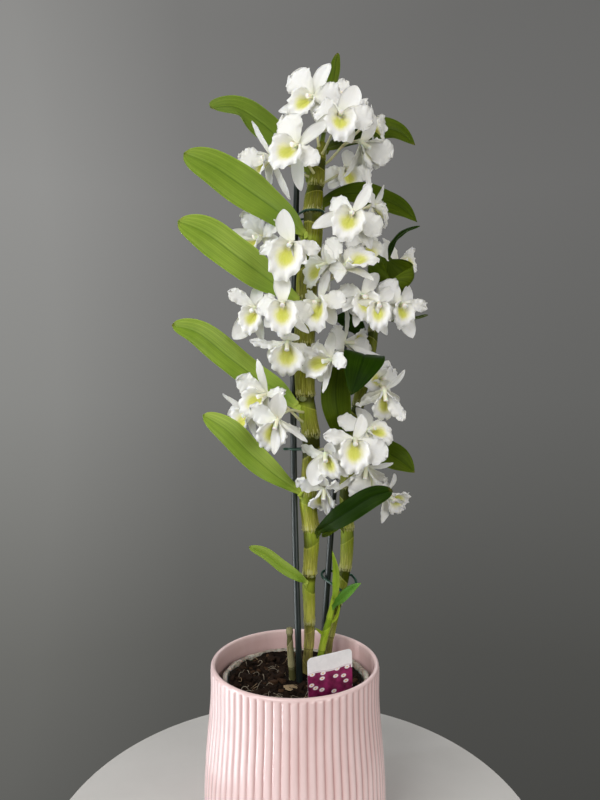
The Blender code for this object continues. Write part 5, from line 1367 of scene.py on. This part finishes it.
def tepal(bag, c, n, tip, width, kind, rnd, index):
    """One sepal or petal from the flower's centre to its tip."""
    nu, nv = (32, 16) if kind == "P" else (20, 10)
    c, n, tip = v3(c), v3(n), v3(tip)
    d = tip - c
    flat = d - n * (d @ n)
    if np.linalg.norm(flat) < 0.004:
        flat = d
    fu = unit(flat)
    start = c + fu * 0.0014 + n * (0.0006 if kind == "P" else -0.0010)
    arch = rnd.uniform(0.0014, 0.0040) if kind == "P" else rnd.uniform(0.0010, 0.0034)
    hook = rnd.uniform(-0.0036, 0.0008)
    m1 = start + d * 0.36 + n * arch
    m2 = start + d * 0.76 + n * (arch * 0.55 + hook * 0.3)
    end = tip + n * hook * 0.35
    side0 = unit(np.cross(unit(d), n))
    bow = rnd.uniform(-0.0016, 0.0016)
    twist = rnd.uniform(-0.20, 0.20) + (rnd.uniform(-0.22, 0.22) if kind == "P" else 0)
    half = width / 2 * (1.13 if kind == "P" else 1.05)
    ph = [rnd.uniform(0, 6.28) for _ in range(12)]
    ruf = rnd.uniform(0.0009, 0.0015) if kind == "P" else rnd.uniform(0.0001, 0.0004)
    cup = rnd.uniform(0.02, 0.20) if kind == "P" else rnd.uniform(0.12, 0.34)
    P = np.zeros((nu + 1, nv + 1, 3))
    T = np.zeros((nu + 1, nv + 1))
    A = np.zeros((nu + 1, nv + 1))
    S = np.zeros((nu + 1, nv + 1))
    for i in range(nu + 1):
        x = i / nu
        x = 1 - (1 - x) ** 1.25
        b0, b1, b2, b3 = (1 - x) ** 3, 3 * x * (1 - x) ** 2, 3 * x * x * (1 - x), x ** 3
        p = start * b0 + m1 * b1 + m2 * b2 + end * b3
        t = unit(3 * ((m1 - start) * (1 - x) ** 2 + 2 * (m2 - m1) * x * (1 - x) + (end - m2) * x * x))
        up = unit(n - t * (n @ t))
        side = np.cross(t, up)
        a = twist * x
        side, up = side * math.cos(a) + up * math.sin(a), up * math.cos(a) - side * math.sin(a)
        p = p + side0 * bow * math.sin(math.pi * x)
        if kind == "P":
            w = (0.26 + 0.74 * math.sin(math.pi / 2 * min(1.0, x / 0.60)) ** 1.15) * (1.0 if x < 0.56 else max(0.0, 1 - ((x - 0.56) / 0.444) ** 2.0) ** 0.68)
        else:
            w = (0.46 + 0.54 * math.sin(math.pi / 2 * min(1.0, x / 0.44)) ** 1.2) * (1.0 if x < 0.42 else max(0.0, 1 - ((x - 0.42) / 0.585) ** 1.9) ** 0.80)
        w = max(w, 0.02) * half
        calm = math.sin(math.pi / 2 * min(1, x / 0.5)) ** 1.5
        end_e = (max(0.0, x - 0.66) / 0.34) ** 1.4
        for j in range(nv + 1):
            s = (j / nv - 0.5) * 2
            s = math.copysign(abs(s) ** 0.9, s)
            e = abs(s) ** 2.2
            o = 0 if s > 0 else 1
            wav = ruf * e * calm * (math.sin(x * 12 + ph[o]) + 0.60 * math.sin(x * 30 + ph[2 + o]) + 0.28 * math.sin(x * 58 + ph[4 + o]))
            wav += ruf * end_e * (0.75 * math.sin(s * 7 + ph[6]) + 0.35 * math.sin(s * 15 + ph[7]))
            trim, over = 1.0, 0.0
            if kind == "P":
                trim += (0.050 * math.sin(x * 21 + ph[8 + o]) + 0.030 * math.sin(x * 46 + ph[10 + o])) * e
                over = half * 0.07 * end_e * (math.sin(s * 8 + ph[9]) + 0.6 * math.sin(s * 17 + ph[11]))
            up_h = cup * half * (s * s - 0.3) * math.sin(math.pi * min(1, 0.15 + 0.85 * x)) + wav
            rib = -0.00035 * math.exp(-(s * w / 0.0006) ** 2) + 0.00012 * math.cos(s * 16) * (1 - abs(s))
            P[i, j] = p + side * (s * w * trim) + up * (up_h + rib) + t * over
            T[i, j] = 0.00075 * (1 - 0.62 * abs(s) ** 4) * (1 - 0.3 * x)
            A[i, j], S[i, j] = x, s
    v, f, k = skin(P, T)
    bag.put(v, f, index, np.stack([S.ravel()[k] * 0.5 + 0.5 + ph[0], A.ravel()[k]], -1), along=A.ravel()[k], across=S.ravel()[k], tone=rnd.uniform(0.2, 1.0))


def lip(bag, c, n, down, rnd, index, size=1.0, broad=0.84):
    """A cup, open at the top where the column lies, that widens from the column's foot to a flared and ruffled mouth."""
    nu, nv = 30, 36
    c, n, dn = v3(c), v3(n), v3(down)
    up = -dn
    X = np.cross(up, n)
    ph = [rnd.uniform(0, 6.28) for _ in range(6)]
    wide = rnd.uniform(0.95, 1.05) * size * broad
    deep = rnd.uniform(0.95, 1.08) * size
    turn = rnd.uniform(-0.0012, 0.0006)
    prof = spline_points([(0, 0.13, 0.0), (0, 0.27, 0.0019), (0, 0.46, 0.0048), (0, 0.68, 0.0078), (0, 0.87, 0.0096), (0, 1.0, 0.0094)], nu)
    P = np.zeros((nu + 1, nv + 1, 3))
    T = np.zeros((nu + 1, nv + 1))
    A = np.zeros((nu + 1, nv + 1))
    S = np.zeros((nu + 1, nv + 1))
    TH = np.zeros((nu + 1, nv + 1))
    for i in range(nu + 1):
        x = i / nu
        r0, z0 = prof[i].y, prof[i].z * size
        ay = -0.0070 * x ** 0.9 * deep
        e = max(0.0, (x - 0.50) / 0.50) ** 1.5
        for j in range(nv + 1):
            s = (j / nv - 0.5) * 2
            th = s * math.radians(154 - 10 * x)
            co = math.cos(th)
            rim = (0.0116 + 0.0030 * co * co) * deep if co > 0 else (0.0116 - 0.0026 * co * co) * deep
            rx = 0.0116 * wide + (0.0002 if co > 0 else -0.0012 * co * co)
            ruf = math.sin(th * 10.5 + ph[0]) * 0.00105 + math.sin(th * 21 + ph[1]) * 0.00050 + math.sin(th * 37 + ph[2]) * 0.00020
            out = 1 + e * (0.055 * math.sin(th * 10.5 + ph[0] + 1.3) + 0.035 * math.sin(th * 17 + ph[3]) + 0.020 * math.sin(th * 41 + ph[4]))
            z = z0 + ruf * e * size
            if co > 0:
                z -= (0.0026 - turn) * e * co ** 4
            else:
                z *= 1 - 0.22 * co * co * x
            # two low ridges run down the middle of the throat
            ridge = 0.00045 * math.exp(-((abs(th) - 0.34) / 0.16) ** 2) * math.sin(math.pi * min(1, x * 1.3)) if x < 0.77 else 0
            r = r0 * out
            P[i, j] = c + X * (math.sin(th) * rx * r) + up * (ay - co * rim * r + ridge) + n * (z + ridge)
            T[i, j] = 0.00075 * (1 - 0.60 * max(abs(s) ** 6, max(0, (x - 0.75) / 0.25) ** 2))
            A[i, j], S[i, j] = x, s
            TH[i, j] = math.exp(-((x - 0.34) / 0.27) ** 4) * math.exp(-(th / 1.25) ** 4)
    v, f, kk = skin(P, T)
    bag.put(v, f, index, np.stack([S.ravel()[kk] * 0.5 + 0.5, A.ravel()[kk]], -1), along=0.5, across=S.ravel()[kk], tone=0.9, throat=TH.ravel()[kk])


def column(bag, c, n, down, rnd, index, size=1.0):
    c, n, dn = v3(c), v3(n), v3(down)
    a = c - n * 0.0006
    pts = [a, a + n * 0.002 + dn * 0.0002, a + n * 0.0045 + dn * 0.0006, a + n * 0.0068 + dn * 0.0013, a + n * 0.0078 + dn * 0.0018, a + n * 0.0089 + dn * 0.0025, a + n * 0.0096 + dn * 0.0030]
    pts = spline_points(pts, 30)
    prof = [(0, 0.0022), (0.3, 0.0018), (0.6, 0.0017), (0.74, 0.0018), (0.78, 0.0015), (0.84, 0.0021), (0.92, 0.0020), (1.0, 0.0009)]
    rad = []
    for i in range(31):
        x = i / 30
        for (x0, r0), (x1, r1) in zip(prof, prof[1:]):
            if x0 <= x <= x1:
                rad.append(r0 + (r1 - r0) * (x - x0) / (x1 - x0))
                break
    v, f, uv, t = tube(pts, rad, 14, frame_up=tuple(dn))
    bag.put(v, f, index, uv, along=t, tone=0.5)


def stalk(bag, f, index):
    root, bend, back = stalk_of(f)
    c, n, up, right, out, ld, (which, v) = parts_of(f)
    if f[0] in FIRST_OF:
        start = root
    else:
        table = FRONT_CANE if which == "F" else REAR_CANE
        q, rq = cane_at_z(table, root.z)
        start = q + (root - q).normalized() * (rq * 0.86)
    pts = spline_points([tuple(start), tuple(root.lerp(bend, 0.25)), tuple(bend), tuple(back), tuple(c)], 44)
    rad = []
    for i in range(45):
        x = i / 44
        r = 0.00115 + 0.0004 * math.exp(-(x / 0.06) ** 2)
        if x > 0.66:
            r += 0.0014 * math.sin(math.pi / 2 * min(1, (x - 0.66) / 0.20)) ** 1.5
        rad.append(r)
    vv, ff, uv, t = tube(pts, rad, 12)
    bag.put(vv, ff, index, uv, along=t)


def flowers():
    done = set()
    for f in FLOWERS:
        if f[0] in FIRST_OF:
            continue
        group = [f] + ([BY_NAME[PARTNER[f[0]]]] if f[0] in PARTNER else [])
        bag = Bag(["along", "across", "tone", "throat"])
        for g in group:
            rnd = random.Random(int(g[0][1:]) * 17 + 5)
            c, n, up, right, out, down, grows = parts_of(g)
            for k in ("SL", "SR", "D"):
                tip, w, seen = out[k]
                tepal(bag, c, n, tip, w, "S", rnd, 0)
            for k in ("PL", "PR"):
                tip, w, seen = out[k]
                tepal(bag, c, n, tip, w, "P", rnd, 0)
            lip(bag, c, n, down, rnd, 1, LIP_SIZE.get(g[0], 1.15), LIP_BROAD.get(g[0], 0.84))
            column(bag, c, n, down, rnd, 2)
            stalk(bag, g, 3)
        node = "flower_" + f[0][1:] if len(group) == 1 else "flowers_%s_%s" % (f[0][1:], group[1][0][1:])
        bag.make("white_" + node, [MAT["petal"], MAT["lip"], MAT["column"], MAT["stalk"]], node=node, slot="petal")


LIP_BROAD = {"f16": 0.95, "f04": 0.95, "f09": 0.88, "f23": 1.0, "f12": 1.0, "f02": 0.90, "f20": 1.0, "f18": 0.84, "f34": 1.0}
LIP_SIZE = {"f09": 1.28, "f16": 1.32, "f04": 1.22, "f18": 1.20, "f32": 1.22, "f23": 1.25, "f02": 1.20, "f20": 0.98, "f21": 0.98, "f22": 1.0, "f17": 1.05, "f31": 1.0, "f33": 0.92, "f19": 1.2, "f06": 0.95, "f10": 0.95, "f03": 0.9, "f14": 0.95}


# ------------------------------------------------------------------ stakes, clips, label
def stake_line(u0, v0, y0, u1, v1, y1, foot_z, bow):
    a, b = at(u0, v0, y0), at(u1, v1, y1)
    pts = []
    for i in range(11):
        t = i / 10
        p = a.lerp(b, t)
        p.x += bow * math.sin(math.pi * t)
        pts.append(p)
    down = (pts[0] - pts[1]).normalized()
    low = pts[0] + down * ((pts[0].z - foot_z) / -down.z)
    return low, pts


def stakes():
    lines = {}
    for name, args in (("stake_left", STAKE_LEFT), ("stake_right", STAKE_RIGHT)):
        low, pts = stake_line(*args)
        lines[name] = pts
        ctrl = [tuple(low), tuple(low.lerp(pts[0], 0.6))] + [tuple(p) for p in pts]
        path = spline_points(ctrl, 150)
        rad = []
        n = len(path)
        for i in range(n):
            r = STAKE_R * (1.0 + 0.012 * math.sin(i * 1.9) + 0.01 * math.sin(i * 0.37))
            if i < 8:
                r = STAKE_R * (0.5 + 0.5 * i / 8)
            if i > n - 5:
                r = STAKE_R * (1 - ((i - (n - 5)) / 5) ** 2 * 0.45)
            rad.append(r)
        v, f, uv, t = tube(path, rad, 28, wobble=lambda i, a: 1 + 0.018 * math.cos(a * 6))
        bag = Bag(["along"])
        bag.put(v, f, 0, uv, along=t)
        bag.make("coated_" + name, [MAT["stake"]], node=name, slot="stake")
    return lines


def clips(lines):
    def stake_at(points, z):
        for a, b in zip(points, points[1:]):
            if a.z <= z <= b.z:
                return a.lerp(b, (z - a.z) / (b.z - a.z))

    for name, table, v, sp, tilt in (("clip_top", FRONT_CANE, 213, lines["stake_left"], 0.0), ("clip_middle", FRONT_CANE, 449, lines["stake_left"], 0.0), ("clip_rear", REAR_CANE, 582, lines["stake_right"], CLIP_TILT)):
        p, r = cane_at(table, v)
        q = stake_at(sp, p.z)
        wire, gap = 0.0009, 0.0009
        if tilt:
            wire, gap = 0.00118, 0.0014
            p = p + Vector((0.0018, 0.0, 0.0))
            r = r + 0.0028
        d = q - p
        d.z = 0
        length = d.length
        d.normalize()
        s = Vector((-d.y, d.x, 0))
        ra, rb = r + gap + wire, STAKE_R + gap + wire
        pts = []
        for k in range(33):
            a = math.radians(100 + 160 * k / 32)
            pts.append(p + d * (ra * math.cos(a)) + s * (ra * math.sin(a)))
        for k in range(25):
            a = math.radians(-80 + 160 * k / 24)
            pts.append(p + d * length + d * (rb * math.cos(a)) + s * (rb * math.sin(a)))
        for w in pts:
            w.z += (w.y - p.y) * tilt
        ring = spline_closed(pts, 120)
        verts, faces = closed_tube(ring, wire * 1.05, 12)
        bag = Bag(["along"])
        bag.put(verts, faces, 0, along=0.5)
        if not tilt:
            # the clip's grip: two short tabs beyond the stake
            tabs = p + d * (length + rb) + d * 0.0004
            for sgn in (-1, 1):
                a = tabs + s * (0.0016 * sgn)
                b = a + d * 0.0040 + s * (0.0010 * sgn)
                vv, ff, uv, t = tube(spline_points([tuple(a - d * 0.0012), tuple(a), tuple(b)], 14), [0.0010] * 9 + [0.0011] * 4 + [0.0009, 0.0005], 12, frame_up=(0, 0, 1))
                bag.put(vv, ff, 0, along=0.5)
        bag.make("wire_" + name, [MAT["clip"]], node=name, slot="clip")


def spline_closed(pts, n):
    P = [Vector(p) for p in pts]
    m = len(P)
    out = []
    for k in range(n):
        x = k / n * m
        i = int(x)
        t = x - i
        a, b, c, d = P[(i - 1) % m], P[i % m], P[(i + 1) % m], P[(i + 2) % m]
        out.append(0.5 * ((2 * b) + (c - a) * t + (2 * a - 5 * b + 4 * c - d) * t * t + (3 * b - a - 3 * c + d) * t ** 3))
    return out


def closed_tube(ring, r, sides):
    n = len(ring)
    verts, faces = [], []
    for i in range(n):
        t = (ring[(i + 1) % n] - ring[i - 1]).normalized()
        x = Vector((0, 0, 1))
        x = (x - t * x.dot(t)).normalized()
        y = t.cross(x)
        for j in range(sides):
            a = 2 * math.pi * j / sides
            verts.append(tuple(ring[i] + x * (r * math.cos(a)) + y * (r * math.sin(a))))
    for i in range(n):
        for j in range(sides):
            k = (j + 1) % sides
            m = (i + 1) % n
            faces.append((i * sides + j, i * sides + k, m * sides + k, m * sides + j))
    return verts, faces


def plant_label():
    tl, tr = at(307.3, 658.9, -0.042), at(351.7, 648.2, -0.026)
    right = (tr - tl).normalized()
    width = (tr - tl).length
    down = Vector((0, 0.05, -1))
    down = (down - right * down.dot(right)).normalized()
    normal = right.cross(-down)
    cr = 0.0035
    outline = []
    for cx, cy, a0 in ((cr, cr, 180), (width - cr, cr, 270)):
        for k in range(13):
            a = math.radians(a0 + 90 * k / 12)
            outline.append((cx + cr * math.cos(a), -(cy + cr * math.sin(a))))
    body_h, stick_w, stick_h = 0.046, 0.014, 0.088
    outline += [
        (width, -body_h), (width / 2 + stick_w / 2, -body_h - 0.008), (width / 2 + stick_w * 0.36, -stick_h + 0.01),
        (width / 2, -stick_h), (width / 2 - stick_w * 0.36, -stick_h + 0.01), (width / 2 - stick_w / 2, -body_h - 0.008), (0, -body_h),
    ]
    bm = bmesh.new()
    front = [bm.verts.new(tl + right * x - down * y + normal * 0.0004) for x, y in outline]
    back = [bm.verts.new(tl + right * x - down * y - normal * 0.0004) for x, y in outline]
    f1 = bm.faces.new(front)
    f2 = bm.faces.new(back[::-1])
    n = len(outline)
    for i in range(n):
        j = (i + 1) % n
        bm.faces.new((front[j], front[i], back[i], back[j]))
    bm.normal_update()
    bmesh.ops.recalc_face_normals(bm, faces=bm.faces)
    bmesh.ops.bevel(bm, geom=[e for e in bm.edges if len(e.link_faces) == 2 and e.calc_face_angle() > 1.2], offset=0.00022, segments=2, affect="EDGES")
    bmesh.ops.triangulate(bm, faces=[f for f in bm.faces if len(f.verts) > 4])
    me = bpy.data.meshes.new("card_label")
    bm.to_mesh(me)
    bm.free()
    me.materials.append(MAT["label"])
    lu, lv, bk = [], [], []
    for v in me.vertices:
        q = v.co - tl
        lu.append(q.dot(right) / width)
        lv.append(q.dot(down) / 0.033)
        bk.append(1.0 if q.dot(normal) < -0.0001 else 0.0)
    for key, vals in (("lu", lu), ("lv", lv), ("back", bk)):
        a = me.attributes.new(key, "FLOAT", "POINT")
        a.data.foreach_set("value", np.asarray(vals, np.float32))
    o = bpy.data.objects.new("card_label", me)
    bpy.context.scene.collection.objects.link(o)
    me.shade_smooth()
    me.set_sharp_from_angle(angle=math.radians(30))
    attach(o, "root")
    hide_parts("plant_label")


def pot_outer(z):
    """The cover pot's outer radius at a height, without its ribs."""
    zs = [0.0090, 0.0340, 0.0590, 0.0760, 0.0930, 0.1090, 0.1350]
    rs = [POT_BELLY_R - 0.0002, POT_BELLY_R, 0.0732, 0.0719, 0.0703, 0.0693, POT_RIM_R]
    for (z0, r0, z1, r1) in zip(zs, rs, zs[1:], rs[1:]):
        if z <= z1:
            t = max(0.0, (z - z0) / (z1 - z0))
            return r0 + (r1 - r0) * t
    return POT_RIM_R


def sheet_of(rows, nu, nv, thick=LEAF_T):
    """A sheet through cross-sections, each five points: left margin, left side, midrib, right side, right margin."""
    cols = [spline_points([r[k] for r in rows], nu) for k in range(5)]
    P = np.zeros((nu + 1, nv + 1, 3))
    T = np.zeros((nu + 1, nv + 1))
    A = np.zeros((nu + 1, nv + 1))
    S = np.zeros((nu + 1, nv + 1))
    for i in range(nu + 1):
        x = i / nu
        line = spline_points([cols[k][i] for k in range(5)], nv)
        for j, p in enumerate(line):
            s = (j / nv - 0.5) * 2
            P[i, j] = p
            T[i, j] = thick * (1 - 0.72 * abs(s) ** 6)
            A[i, j], S[i, j] = x, s
    return P, T, A, S


def folded_leaf(name, mat, node):
    """The leaf that points at the viewer: a boat, seen from its bow. Its halves rise from a keel and meet at the tip."""
    axis, r = cane_at(REAR_CANE, 268)
    rows = [
        [(386, 259.5, 0.0255), (386.5, 261, 0.0255), (388, 262, 0.0255), (389.5, 261.5, 0.0255), (390, 260, 0.0255)],
        [(380.5, 256, 0.0190), (379, 266, 0.0190), (387, 273, 0.0196), (396, 268, 0.0190), (398, 259, 0.0190)],
        [(379.0, 254.6, 0.0120), (370.0, 267, 0.0114), (388, 284, 0.0126), (406, 276, 0.0114), (405.5, 260, 0.0120)],
        [(380.0, 256.0, 0.0050), (368.4, 272, 0.0044), (391.5, 291.5, 0.0056), (412.0, 279, 0.0044), (411.6, 263.0, 0.0044)],
        [(382.5, 262.0, -0.0020), (372.0, 279, -0.0026), (395.0, 293.6, -0.0014), (411.0, 281, -0.0026), (412.0, 266.5, -0.0026)],
        [(386.5, 271.0, -0.0070), (382.5, 281, -0.0073), (395.0, 290.5, -0.0064), (403.5, 279.5, -0.0073), (402.5, 272.0, -0.0070)],
        [(390.3, 279.6, -0.0100), (390.4, 280.3, -0.0100), (391.0, 280.9, -0.0100), (391.7, 280.3, -0.0100), (391.8, 279.6, -0.0100)],
    ]
    rows = [[at(*p) for p in row] for row in rows]
    out = Vector((rows[0][2].x - axis.x, rows[0][2].y - axis.y, 0)).normalized()
    side = Vector((-out.y, out.x, 0))
    foot = [axis + out * (r * 0.75) + side * (0.0016 * k) for k in (-2, -1, 0, 1, 2)]
    if (foot[0] - rows[0][0]).length > (foot[4] - rows[0][0]).length:
        foot = foot[::-1]
    P, T, A, S = sheet_of([foot] + rows, 72, 24)
    vv, ff, kk = skin(P, T)
    bag = Bag(["along", "across", "tone"])
    bag.put(vv, ff, 0, np.stack([A.ravel()[kk], S.ravel()[kk] * 0.5 + 0.5], -1), along=A.ravel()[kk], across=S.ravel()[kk], tone=0.5)
    bag.make(name, [mat], node=node, slot="leaf_right")


# ------------------------------------------------------------------ the whole
MAT = {}
MAT["petal"] = petal_material("white_petal")
MAT["lip"] = petal_material("lip_white_and_lime", lip=True)
MAT["column"] = column_material()
MAT["stalk"] = stalk_material()
# the bright, mid and dark leaf greens are partly the leaves' own greens and partly painted light and shade: the bright
# green is painted as lit, for the left leaves; the mid and dark greens are painted as shaded, for the others
MAT["leaf_green_painted_lit"] = leaf_material("leaf_green_painted_lit", (0.235, 0.355, 0.034), (0.175, 0.285, 0.022), (0.085, 0.165, 0.009), 0.42, (0.40, 0.50, 0.07))
MAT["leaf_green_painted_half_shade"] = leaf_material("leaf_green_painted_half_shade", (0.085, 0.128, 0.004), (0.052, 0.090, 0.002), (0.020, 0.040, 0.0008), 0.46, (0.17, 0.22, 0.02), 0.07)
MAT["leaf_green_painted_shade"] = leaf_material("leaf_green_painted_shade", (0.022, 0.054, 0.0008), (0.009, 0.030, 0.0004), (0.003, 0.012, 0.0003), 0.46, (0.05, 0.08, 0.004), 0.05)
MAT["leaf_lime"] = leaf_material("leaf_lime", (0.30, 0.44, 0.03), (0.23, 0.36, 0.02), (0.13, 0.24, 0.01), 0.42)
MAT["leaf_young"] = leaf_material("leaf_young", (0.11, 0.27, 0.02), (0.06, 0.19, 0.012), (0.025, 0.10, 0.005), 0.42)
MAT["cane"] = cane_material("cane_front", (0.37, 0.39, 0.045), (0.165, 0.172, 0.004), (0.040, 0.046, 0.001), (0.60, 0.57, 0.13))
MAT["cane_rear"] = cane_material("cane_rear", (0.23, 0.27, 0.03), (0.15, 0.175, 0.007), (0.045, 0.060, 0.0015), (0.52, 0.50, 0.14))
MAT["shoot"] = cane_material("young_shoot", (0.38, 0.46, 0.035), (0.32, 0.43, 0.025), (0.20, 0.33, 0.015), (0.50, 0.56, 0.10))
MAT["stub"] = cane_material("dry_stub", (0.30, 0.32, 0.13), (0.30, 0.27, 0.14), (0.10, 0.10, 0.035), (0.58, 0.54, 0.34))
MAT["paper"] = paper_material()
MAT["scar"] = plastic_material("bud_scar", (0.12, 0.14, 0.035), (0.30, 0.32, 0.13), 0.5)
MAT["glaze"] = glaze_material()
MAT["liner"] = liner_material()
MAT["soil"] = soil_material("dark_mix", (0.0045, 0.0028, 0.0018), (0.013, 0.008, 0.005), (0.022, 0.013, 0.008))
MAT["chip_dark"] = soil_material("bark_dark", (0.006, 0.0035, 0.0022), (0.016, 0.009, 0.0055), (0.032, 0.018, 0.011))
MAT["chip_brown"] = soil_material("bark_brown", (0.022, 0.011, 0.006), (0.055, 0.029, 0.015), (0.10, 0.055, 0.030))
MAT["chip_pale"] = soil_material("bark_pale", (0.24, 0.15, 0.08), (0.42, 0.29, 0.17), (0.48, 0.36, 0.22))
MAT["fibre"] = soil_material("coir_fibre", (0.22, 0.17, 0.11), (0.42, 0.36, 0.27), (0.50, 0.45, 0.36))
MAT["stake"] = plastic_material("stake_coat", (0.004, 0.009, 0.008), (0.009, 0.019, 0.017), 0.30)
MAT["clip"] = plastic_material("clip_coat", (0.006, 0.045, 0.025), (0.010, 0.065, 0.036), 0.30)
MAT["label"] = label_material()

camera_and_light()
cover_pot()
nursery_pot()
growing_medium()
canes()
leaves()
flowers()
clips(stakes())
plant_label()
